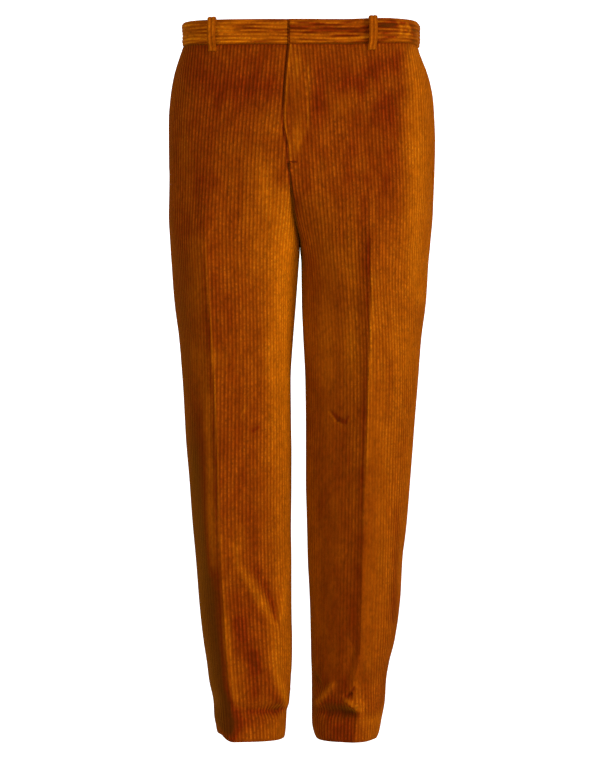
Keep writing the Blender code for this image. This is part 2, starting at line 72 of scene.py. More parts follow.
# Sections of the whole garment, in millimetres, before the turn below. Outer and inner are distances from
# the middle plane to each leg's silhouette; front and back are depths; mid_y is where the section is
# widest; square is the superellipse power of the outer quarters (2 is round, more is boxier).
Section = namedtuple("Section", "drop right_outer left_outer right_inner left_inner front back mid_y square")
SECTIONS = (
    Section(0, 173.5, 178, 1, -1, 94, 93, 0, 2.8),
    Section(37, 172.5, 177.2, 1, -1, 96, 95.5, 0, 2.75),
    Section(50, 176.5, 181.5, 1.2, -1.2, 101, 100, 1, 2.6),
    Section(78, 185.5, 192.5, 1.6, -1.6, 107.5, 111, 4, 2.5),
    Section(108, 190.5, 199, 2, -2, 113, 123, 7, 2.45),
    Section(138, 193, 201, 2.5, -2.5, 116.5, 132, 9, 2.4),
    Section(168, 193.5, 202, 3.2, -3.2, 118.5, 138, 11, 2.35),
    Section(210, 194, 201, 4, -4, 118.5, 138, 12, 2.3),
    Section(262, 195.5, 198.7, 3.5, -3.5, 115, 128, 12, 2.2),
    Section(290, 196.3, 197.5, 2.5, -2.5, 111, 118, 10, 2.15),
    Section(333, 195, 194, 0.2, -0.8, 104.5, 105, 7, 2.1),
    Section(347, 194, 192.5, 1.2, 0.8, 103, 102, 5, 2.1),
    Section(407, 189.5, 188.8, 5.6, 1.2, 95, 90, 0, 2.05),
    Section(467, 180.8, 181, 10.2, 3.6, 89, 80, -4, 2.05),
    Section(527, 176.3, 176.3, 13.6, 6.2, 84, 72, -8, 2.05),
    Section(617, 171.5, 168.8, 12.9, 7, 77, 63, -10, 2.05),
    Section(677, 166.3, 164.3, 13.7, 7, 72, 60, -9, 2.05),
    Section(737, 162, 159.8, 13.7, 8.5, 67, 60, -6, 2.05),
    Section(797, 156.8, 153.2, 12.5, 9.9, 62, 60, -3, 2.05),
    Section(857, 152.3, 149.8, 12.5, 12.9, 58, 60, -1, 2.05),
    Section(917, 145.8, 141.3, 11.7, 14.3, 56, 59, 0, 2.05),
    Section(947, 141, 133.5, 12.2, 14.9, 55.5, 58.5, 0, 2.05),
    Section(977, 137, 128.6, 14.2, 15.8, 55, 58, 0, 2.1),
    Section(1007, 130.3, 126.8, 18.9, 15.9, 56, 57, 0, 2.2),
    Section(1037, 128.6, 121.4, 20.4, 15.9, 58, 57, 0, 2.3),
    Section(1049, 126.3, 119.5, 21.1, 17.6, 60, 58, 0, 2.4),
    Section(1062, 124.5, 116, 22.6, 22, 62, 59, 0, 2.5),
)

# The top hangs turned a little: its front sits towards the wearer's right and its back towards the left,
# by this share of the depth. The turn is gone where the legs part.
TURN = 0.100
TURN_FADE = (0.275, 0.335)

# Where the pressed front crease is seen to run, as distances from the middle plane, in millimetres.
Crease = namedtuple("Crease", "drop right left")
CREASES = (
    Crease(0, 142, 95),
    Crease(60, 142, 98),
    Crease(150, 141, 101.5),
    Crease(250, 140, 103.5),
    Crease(330, 139, 104),
    Crease(407, 134.5, 103.8),
    Crease(458, 130.8, 102.5),
    Crease(556, 125.2, 99.5),
    Crease(629, 122.3, 97.3),
    Crease(702, 120.3, 94.4),
    Crease(791, 118, 91.8),
    Crease(865, 113.8, 89.5),
    Crease(926, 110, 88),
    Crease(960, 106.8, 81.5),
    Crease(985, 104.2, 76.5),
    Crease(1017, 101.2, 85.5),
    Crease(1044, 99, 81),
    Crease(1062, 98, 76.5),
)
# How far each pressed crease's ridge stands forward (or back) of the leg's round, and how far it reaches
# inwards and outwards.
Ridge = namedtuple("Ridge", "height inner outer")
RIDGES = {
    "right front": Ridge(0.0180, 0.110, 0.026),
    "left front": Ridge(0.0270, 0.040, 0.040),
    "right back": Ridge(0.0140, 0.035, 0.035),
    "left back": Ridge(0.0140, 0.035, 0.035),
}
# It grows between these drops, and gets softer again towards the hem.
CREASE_START, CREASE_FULL = 0.180, 0.430
CREASE_SOFTER_FROM, CREASE_SOFTER_BY = 0.850, 0.45
# The superellipse power of a section's inner quarters.
INNER_SQUARE = 2.5
# How much boxier the outer quarter is in front than behind, above the fork.
FRONT_SQUARER = 0.6
FRONT_SQUARER_FADE = (0.240, 0.340)
# The tables' curves are softened over this many millimetres each way, and a quarter of a section has this
# many points.
SOFTEN = 9
QUARTER_POINTS = 220
# A direction on the form is taken between two points this far to each side.
SIDE_STEP, LEVEL_STEP = 0.0006, 0.0008

# The fly: how far the left front's edge laps past the middle seam, in millimetres. The lap stands FLY_LIFT
# proud, and the right front sinks under it, with a groove along its edge.
Lap = namedtuple("Lap", "drop lap")
FLY_LAPS = (Lap(0, 7), Lap(37, 7.5), Lap(100, 11), Lap(145, 12), Lap(169, 8), Lap(182, 4.5), Lap(210, 2.5))
FLY_LIFT = 0.0014
# How far the right front goes on past the middle seam, under the lap.
FLY_UNDERLAP = 0.020
# The lap rises between these distances before the middle seam. The right front sinks over the FLY_FLAT before
# the lap's edge, and is down FLY_SUNK_BEFORE it. Both are level again FLY_FADE below the fly's end.
FLY_FLAT, FLY_SHOULDER = 0.022, 0.045
FLY_SUNK_BEFORE = 0.003
FLY_FADE = 0.018
# The groove's depth, how far it lies from the lap's edge and how far it reaches.
FLY_TROUGH, FLY_TROUGH_AT, FLY_TROUGH_REACH = 0.0016, 0.0008, 0.0008
# How far onto the other half's front a line goes on past the middle.
PAST_MIDDLE = 0.060

# The side pockets: a slit in each side seam with a facing behind it. The front's edge stands off a little.
POCKET_TOP, POCKET_BOTTOM = 0.046, 0.211
POCKET_FADE = 0.008
POCKET_LIFT = 0.0012
POCKET_REACH = 0.030
FACING_WIDTH = 0.026
# How far each side seam lies forward of the side, down to the fly's end. It is back in line at this drop.
SEAM_FORWARD = {"right": 0.022, "left": 0.034}
SEAM_BACK_IN_LINE = 0.360

# How much each hem is lifted at the side seam, from which drop, and how far from the seam.
HEM_LIFT = {"right": 0.0090, "left": 0.0015}
HEM_LIFT_TOP = 1.000
HEM_LIFT_FULL, HEM_LIFT_END = 0.046, 0.080

# ---- Sizes of the cloth itself

RIB_PITCH = 0.0056
RIB_HEIGHT = 0.0011
# One rib from groove to groove: shares of the pitch and of the height.
RIB_SHAPE = ((0.0, 0.0), (0.13, 0.66), (0.31, 0.95), (0.5, 1.0), (0.69, 0.95), (0.87, 0.66))
# Where one rib of each panel is seen to run, as distances from the middle plane, in millimetres. The others
# lie beside it at equal distances along the cloth.
Grain = namedtuple("Grain", "drop right left")
FRONT_GRAIN = (
    Grain(0, 77, 37),
    Grain(39, 81.2, 39.6),
    Grain(72, 83.8, 42.4),
    Grain(110, 87.3, 45.1),
    Grain(147, 90.8, 47.4),
    Grain(191, 93.7, 49.8),
    Grain(235, 95.6, 52.6),
    Grain(278, 97.1, 55.3),
    Grain(322, 97.8, 57.7),
    Grain(366, 97.1, 60.2),
    Grain(424, 95.8, 63.8),
    Grain(497, 95.2, 66.7),
    Grain(571, 95.8, 67.2),
    Grain(644, 96.8, 66.1),
    Grain(732, 97.2, 65.1),
    Grain(821, 95.0, 63.8),
    Grain(910, 90.4, 62.2),
    Grain(985, 85.7, 60.4),
    Grain(1062, 80.7, 58.4),
)
BACK_GRAIN = (
    Grain(0, 57, 99),
    Grain(150, 60, 96),
    Grain(250, 62, 93),
    Grain(330, 63, 89.5),
    Grain(458, 64.5, 83.5),
    Grain(600, 64.5, 78.5),
    Grain(702, 61.5, 75),
    Grain(800, 57, 71.5),
    Grain(924, 52, 66.5),
    Grain(1062, 49, 59),
)
# The columns beside a panel's edges, which sink by SEAM_SINK into the seams and go SEAM_LAP past their lines.
EDGE_STEPS = (0.0, 0.0004, 0.0010, 0.0018, 0.0030)
SEAM_SINK = 0.0013
SEAM_LAP = 0.0002
# How far the panels go up behind the band.
TUCKED_IN = 0.0012
# Painted light and shade: how much darker the seams are made (painted shade), how much lighter along the
# fly's edge (a painted highlight), and how much darker in the groove beside it (for each metre of its depth)
# and just under the band (painted shade).
SEAM_SHADE, SEAM_SHADE_REACH = -0.9, (0.0002, 0.0030)
FLY_EDGE_HIGHLIGHT, FLY_EDGE_AT, FLY_EDGE_REACH = 0.9, 0.0034, 0.0020
TROUGH_SHADE, FLY_TONE_FADE = 700, 0.006
UNDER_BAND_SHADE, UNDER_BAND_REACH = -1.4, 0.0026
# How the top is pulled up: all round, more on the left, and at both sides of the band's lower edge.
WAIST_RISE, WAIST_RISE_FADE = 0.0037, (0.030, 0.160)
LEFT_RISE, LEFT_RISE_AT = 0.0032, (0.060, 0.135)
SIDE_RISE, SIDE_RISE_AT = 0.0022, (0.120, 0.178)
SIDE_RISE_GROWS, SIDE_RISE_FADE = (0.004, 0.034), (0.040, 0.120)


# ---- The form


def smooth_column(table, column):
    """A column sampled every millimetre on a curve through its rows that never overshoots, then softened."""
    at = np.array([row.drop for row in table], float)
    value = np.array([getattr(row, column) for row in table], float)
    secant = np.diff(value) / np.diff(at)
    agree = secant[:-1] * secant[1:] > 0
    mean = 2 * secant[:-1] * secant[1:] / np.where(agree, secant[:-1] + secant[1:], 1)
    slope = np.concatenate([secant[:1], np.where(agree, mean, 0), secant[-1:]])
    grid = np.arange(at[0], at[-1] + 1)
    k = np.clip(np.searchsorted(at, grid, side="right") - 1, 0, len(at) - 2)
    span = at[k + 1] - at[k]
    t = (grid - at[k]) / span
    curve = value[k] * (1 + 2 * t) * (1 - t) ** 2 + value[k + 1] * t * t * (3 - 2 * t)
    curve += span * (slope[k] * t * (1 - t) ** 2 - slope[k + 1] * t * t * (1 - t))
    window = np.hanning(2 * SOFTEN + 3)[1:-1]
    padded = np.pad(curve, SOFTEN, mode="reflect", reflect_type="odd")
    return grid / 1000, np.convolve(padded, window / window.sum(), "valid") / 1000


SMOOTHED = {}


def table_value(table, column, drop):
    """A column of a table at a drop, both in metres."""
    key = (id(table), column)
    if key not in SMOOTHED:
        SMOOTHED[key] = smooth_column(table, column)
    return float(np.interp(drop, *SMOOTHED[key]))


def ease(low, high, value):
    t = np.clip((value - low) / (high - low), 0, 1)
    return t * t * (3 - 2 * t)


def turned(half, points, drop):
    """Points of a half, x outwards, moved sideways by the garment's turn."""
    moved = np.array(points, float)
    moved[..., 0] += half.sign * turn_share(drop) * moved[..., 1]
    return moved


def turn_share(drop):
    return TURN * (1 - ease(*TURN_FADE, drop))


def crease_x(half, face, drop):
    """How far out the crease lies before the turn. The back one mirrors the front one within the leg."""
    x = table_value(CREASES, half.name, drop)
    if face == "back":
        inner = table_value(SECTIONS, half.name + "_inner", drop)
        x = inner + table_value(SECTIONS, half.name + "_outer", drop) - x
    depth = table_value(SECTIONS, face, drop) * (-1 if face == "front" else 1)
    return x - half.sign * turn_share(drop) * depth


def crest(half, face, drop):
    """How far out the section's front-most or back-most point lies: on the crease in the leg."""
    inner = table_value(SECTIONS, half.name + "_inner", drop)
    return inner + (crease_x(half, face, drop) - inner) * ease(CLEFT_TOP, CREASE_SET_DROP, drop)


def middle_gap(drop):
    """Half the space between the two halves: none where they are sewn, a little where the thighs touch."""
    return THIGH_GAP * ease(FORK_DROP, FORK_DROP + THIGH_GAP_GROWS, drop)


def ridge_at(half, face, x, inner, outer, drop):
    """How far the crease's ridge stands out at distances x from the middle plane: nothing at both edges."""
    ridge = RIDGES[f"{half.name} {face}"]
    crease = crease_x(half, face, drop)
    strength = ease(CREASE_START, CREASE_FULL, drop)
    strength *= 1 - CREASE_SOFTER_BY * ease(CREASE_SOFTER_FROM, HEM_DROP, drop)
    past = x - crease
    share = np.where(past > 0, past / (outer - crease), -past / (crease - inner)).clip(0, 1)
    fall = np.exp(-abs(past) / np.where(past > 0, ridge.outer, ridge.inner))
    return ridge.height * strength * fall * (1 - share**5)


def half_curve(half, face, drop):
    """One half of a section, seen from above: from the side, round the front or back, to the middle edge."""
    sign = -1 if face == "front" else 1
    outer = table_value(SECTIONS, half.name + "_outer", drop)
    inner = table_value(SECTIONS, half.name + "_inner", drop) + middle_gap(drop)
    depth = sign * table_value(SECTIONS, face, drop)
    mid_y = table_value(SECTIONS, "mid_y", drop)
    square = 1000 * table_value(SECTIONS, "square", drop)
    if face == "front":
        square += FRONT_SQUARER * (1 - ease(*FRONT_SQUARER_FADE, drop))
    top = max(crest(half, face, drop), inner)
    turn = np.linspace(0, np.pi / 2, QUARTER_POINTS)
    sine, cosine = np.sin(turn), np.cos(turn).clip(0)
    x = top + (outer - top) * cosine ** (2 / square)
    y = mid_y + (depth - mid_y) * sine ** (2 / square)
    if drop > CLEFT_TOP:
        meet = depth + (mid_y - depth) * ease(CLEFT_TOP, LEGS_ROUND_DROP, drop)
        share = 1 - (1 - min(1.0, (drop - CLEFT_TOP) / (FORK_DROP - CLEFT_TOP)) ** 2) ** 0.5
        edge = depth + (mid_y - depth) * share
        x = np.append(x, top - (top - inner) * sine[1:] ** (2 / INNER_SQUARE))
        y = np.append(y, meet + (depth - meet) * cosine[1:] ** (2 / INNER_SQUARE))
        if abs(edge - meet) > 1e-5:
            x, y = np.append(x, inner), np.append(y, edge)
    y = y + sign * ridge_at(half, face, x, inner, outer, drop)
    return np.stack([x, y], axis=1)


def arc_of(line):
    return np.append(0, np.cumsum(np.linalg.norm(np.diff(line, axis=0), axis=1)))


def along(line, arc, at):
    """Points at distances along a line, which goes on straight past its ends."""
    at = np.asarray(at, float)
    on = np.stack([np.interp(at, arc, line[:, k]) for k in range(2)], axis=-1)
    if at.min() < 0:
        onward = int(np.argmax(arc > 1e-6))
        on = on + np.minimum(at, 0)[..., None] * (line[onward] - line[0]) / arc[onward]
    if at.max() > arc[-1]:
        ahead = line[-1] - line[-2]
        on = on + np.maximum(at - arc[-1], 0)[..., None] * ahead / np.linalg.norm(ahead)
    return on


def seam_forward(half, drop):
    return SEAM_FORWARD[half.name] * (1 - ease(FLY_END, SEAM_BACK_IN_LINE, drop))


def past_middle(half, drop):
    """The stretch of the other half's front that a lap or underlap lies along."""
    other = half_curve(RIGHT if half is LEFT else LEFT, "front", drop)[::-1] * (-1, 1)
    return other[arc_of(other) < PAST_MIDDLE][1:]


def panel_line(half, face, drop):
    """A panel's line at one level, from its side seam to past its middle edge, and that edge's place."""
    front = half_curve(half, "front", drop)
    front_arc = arc_of(front)
    shift = seam_forward(half, drop)
    if face == "back":
        lead = along(front, front_arc, np.linspace(shift, 0, 20)[:-1])
        line = np.concatenate([lead, half_curve(half, "back", drop)])
        return line, arc_of(line)[-1]
    line = np.concatenate([along(front, front_arc, [shift]), front[front_arc > shift + 1e-6]])
    length = arc_of(line)[-1]
    if drop < CLEFT_TOP:
        line = np.concatenate([line, past_middle(half, drop)])
    return line, length


def grain_place(half, face, line, drop):
    """How far along the panel's line its rib of FRONT_GRAIN or BACK_GRAIN runs."""
    x = table_value(FRONT_GRAIN if face == "front" else BACK_GRAIN, half.name, drop)
    seen = turned(half, line, drop)[:, 0]
    outermost = int(seen.argmax())
    return arc_of(line)[outermost] + float(np.interp(-x, -seen[outermost:], arc_of(line[outermost:])))


def rise_of(x, drop):
    """How much higher than its drop the garment's top sits, at x towards the wearer's left: the left side is
    pulled up a little, and the band's lower edge rises towards both sides."""
    raised = (WAIST_RISE + LEFT_RISE * ease(*LEFT_RISE_AT, x)) * (1 - ease(*WAIST_RISE_FADE, drop))
    side = ease(*SIDE_RISE_AT, abs(x)) * ease(*SIDE_RISE_GROWS, drop) * (1 - ease(*SIDE_RISE_FADE, drop))
    return raised + SIDE_RISE * side


def place(half, line, at, drop):
    """The points at distances along a line, turned and with the half's sign applied, as rows of x, y, z."""
    flat = along(turned(half, line, drop), arc_of(line), at)
    x = half.sign * flat[..., 0]
    return np.stack([x, flat[..., 1], rise_of(x, drop) - drop], axis=-1)


def sideways(half, line, at, drop):
    """Steps along a line across each of its places."""
    return place(half, line, at + SIDE_STEP, drop) - place(half, line, at - SIDE_STEP, drop)


Row = namedtuple("Row", "points normals at length across")


def form_row(half, face, drop, columns_at, square_cut=False):
    """A row of a panel's bare form, with its outward normals, its distances from the side seam, its length
    and its distances from the grain line."""
    rows = []
    for level in (drop - LEVEL_STEP, drop + LEVEL_STEP, drop):
        line, length = panel_line(half, face, level)
        grain = grain_place(half, face, line, level)
        at = columns_at(level, length, grain)
        rows.append(place(half, line, at, level))
    above, below, points = rows
    normals = np.cross(sideways(half, line, at, drop), above - below)
    if square_cut:
        normals[:, 2] = 0
    normals /= np.linalg.norm(normals, axis=1)[:, None]
    normals *= -half.sign if face == "front" else half.sign
    return Row(points, normals, at, length, at - grain)


def lap(drop):
    return table_value(FLY_LAPS, "lap", drop)


def fly_offset(half, past, drop):
    """How far the fly moves each front: the left one lies over the right one."""
    fade = 1 - ease(FLY_END, FLY_END + FLY_FADE, drop)
    if half is LEFT:
        return FLY_LIFT * fade * ease(-FLY_SHOULDER, -FLY_FLAT, past)
    edge = -lap(drop)
    sunk = (CLOTH + PLY_GAP - FLY_LIFT) * ease(edge - FLY_FLAT, edge - FLY_SUNK_BEFORE, past)
    return -fade * (sunk + fly_trough(past, lap(drop)))


def fly_trough(past, lap_here):
    """The groove in the right side along the left side's edge."""
    return FLY_TROUGH * np.exp(-(((past + lap_here + FLY_TROUGH_AT) / FLY_TROUGH_REACH) ** 2))


def seam_shading(half, face, from_edge, past, drop):
    """Painted light and shade near a panel's edges: painted shade in the seams and in the groove beside the
    fly's edge, and a painted highlight along the fly's edge.
    """
    tone = SEAM_SHADE * (1 - ease(*SEAM_SHADE_REACH, from_edge))
    if face == "front":
        fade = 1 - ease(FLY_END, FLY_END + FLY_TONE_FADE, drop)
        if half is LEFT:
            inside = past - lap(drop) + FLY_EDGE_AT
            tone = tone + FLY_EDGE_HIGHLIGHT * fade * np.exp(-((inside / FLY_EDGE_REACH) ** 2))
        else:
            tone = tone - TROUGH_SHADE * fade * fly_trough(past, lap(drop))
    return tone


def pocket_lift(distance, drop):
    """How far the front's edge stands off at the pocket's mouth, at a distance from the side seam."""
    opens = ease(POCKET_TOP - POCKET_FADE, POCKET_TOP, drop)
    closes = 1 - ease(POCKET_BOTTOM, POCKET_BOTTOM + POCKET_FADE, drop)
    return POCKET_LIFT * opens * closes * (1 - ease(0, POCKET_REACH, distance))


def hem_lift(half, distance, drop):
    """How far the hem rises near the side seam."""
    near = 1 - ease(HEM_LIFT_FULL, HEM_LIFT_END, distance)
    return HEM_LIFT[half.name] * near * ease(HEM_LIFT_TOP, HEM_DROP, drop)


# ---- Folds, brushed pile, and painted light and shade

# A stroke runs softly along a path on a front, a back or the band, through Points: x outwards from the middle
# plane and drop in millimetres, with the amount and the reach there. Of a fold the amount is its height in
# millimetres (below 0 it sinks). Of the pile and of painted light and shade it is how much lighter (or
# darker, below 0) the pile was brushed or the painted light and shade make it: 1 is the step from the dark
# colours to the light ones.
Point = namedtuple("Point", "x drop amount reach")
BACK_POCKET_DROP, BACK_POCKET_LENGTH, BACK_POCKET_SLANT, BACK_POCKET_MARGIN = 93, 110, 7, 7
DART_TOP, DART_AT = 40, 50


def strokes(*paths):
    """Paths of rows, as Points. A row that ends early keeps the values of the row before it."""
    made = []
    for path in paths:
        points = [Point(*path[0])]
        for row in path[1:]:
            points.append(Point(*row, *points[-1][len(row) :]))
        made.append(points)
    return made


def back_pocket(inner, slit, seam, dart, dart_tip):
    """The paths of a back pocket's piped slit, of the seam round it and of the dart above. slit, seam and
    dart are amounts with their reaches, and dart_tip is the drop, amount and reach at the dart's tip."""
    outer = inner + BACK_POCKET_LENGTH
    top, bottom = BACK_POCKET_DROP - BACK_POCKET_MARGIN, BACK_POCKET_DROP + BACK_POCKET_MARGIN
    slant = BACK_POCKET_SLANT
    upper_seam = (inner, top, *seam), (outer, top - slant)
    lower_seam = (outer + 0.6, bottom - slant), (inner, bottom)
    return (
        ((inner, BACK_POCKET_DROP, *slit), (outer, BACK_POCKET_DROP - slant)),
        (*upper_seam, *lower_seam, (inner - 0.6, top)),
        ((inner + DART_AT, DART_TOP, *dart), (inner + DART_AT + 4, *dart_tip)),
    )


# The folds, the fly's stitches, the pinches in the band, and the back pockets.
FOLDS = {
    "right front": strokes(
        # The hem: a long swell from the crease to the inner edge, steep on its inner side, and the break
        # below.
        ((102, 755, 0, 10), (92, 802, 2.5, 11), (77, 823, 4, 12), (61, 853, 5.5, 14), (46, 881, 6.5, 18),
         (42, 911, 7, 20), (41, 941), (39, 970, 7.5, 18), (32, 992, 8, 14), (27, 1010, 6, 10),
         (25, 1022, 0, 8)),
        ((76, 800, 0, 8), (56, 826, -3), (44, 856, -4.5, 7), (38, 884, -3, 5), (36, 896, 0, 4)),
        ((22, 812, 0, 5), (27, 850, 3), (32, 878), (36, 900, 0)),
        ((26, 905, 0, 7), (26, 941, -3, 8), (25, 970), (22, 990, 0)),
        ((96, 1016, 0, 7), (74, 1018, -6, 8), (44, 1018, -9), (32, 1016, -8, 6), (25, 1020, 0)),
    ),
    "left front": strokes(
        # The hem: a nick beside the crease, the ridge that turns round it, the hollow under it and two more
        # folds.
        ((80, 978, 0, 3), (78, 984, -3.5, 2.6), (74, 990, -4.5), (66, 994.5, -2)),
        ((64, 994, 0, 4), (68, 1001, 6, 5), (75, 1007, 8), (83, 1012, 7), (90, 1020, 0)),
        ((22, 1018, -4, 8), (45, 1018, -7), (62, 1018, -8, 7), (76, 1019, -7, 6), (86, 1024, 0, 5)),
        ((52, 974, 0, 6), (46, 980, 4, 5), (37, 991, 5), (27, 1004, 4), (22, 1013, 0)),
        ((18, 962, -1, 4), (25, 973, -3.5), (33, 987, 0)),
        ((80, 890, 0, 5), (76, 925, -2), (70, 960, -2.5), (61, 988, 0)),
        # The fly: its curved line of stitches and the tack at its end.
        ((11, 90, 0, 1.4), (11, 104, -0.7), (11.5, 150, -0.8), (9, 174), (2, 193), (-6, 204)),
        ((-18, 208, -1.2, 1.0), (-7, 208.4)),
    ),
    "left band": strokes(
        # The pinches beside the loop.
        ((142, 6, 0.8, 1.6), (148, 15), (147, 24)),
        ((156, 6, 0.8, 1.6), (161, 15), (158, 24)),
        ((147, 24, 0.6, 1.4), (158, 24)),
    ),
    "right band": strokes(
        # The pinch beside the loop.
        ((100, 7, 0.4, 2.0), (103, 17, 0.6), (100, 28, 0.4)),
    ),
    "right back": strokes(
        # The back pocket.
        *back_pocket(42, slit=(-1.1, 1.5), seam=(-0.6, 1.3), dart=(-1.0, 1.5), dart_tip=(88, 0, 1.5)),
        # The crotch's drag line, the knee's two folds and the break at the hem.
        ((158, 325, 0, 16), (110, 352, -5.0, 18), (58, 372, -2, 14)),
        ((144, 606, 0, 16), (96, 626, -6.0, 18), (46, 644, -2, 16)),
        ((124, 694, 0, 14), (80, 678, -4.0, 15), (36, 662, -1, 12)),
        ((116, 984, 0, 10), (80, 997, -5.0, 12), (42, 1006, 0, 10)),
    ),
    "left back": strokes(
        # The back pocket.
        *back_pocket(40, slit=(-1.1, 1.5), seam=(-0.6, 1.3), dart=(-1.0, 1.5), dart_tip=(88, 0, 1.5)),
        # The crotch's drag line, the knee's two folds and the break at the hem.
        ((154, 334, 0, 16), (108, 354, -4.5), (62, 368, -2, 14)),
        ((136, 620, 0, 16), (90, 636, -5.5, 18), (42, 650, -2, 16)),
        ((114, 702, 0, 14), (72, 688, -4.0, 15), (28, 674, -1, 12)),
        ((104, 990, 0, 10), (68, 1001, -5.0, 12), (32, 1008, 0, 10)),
    ),
}
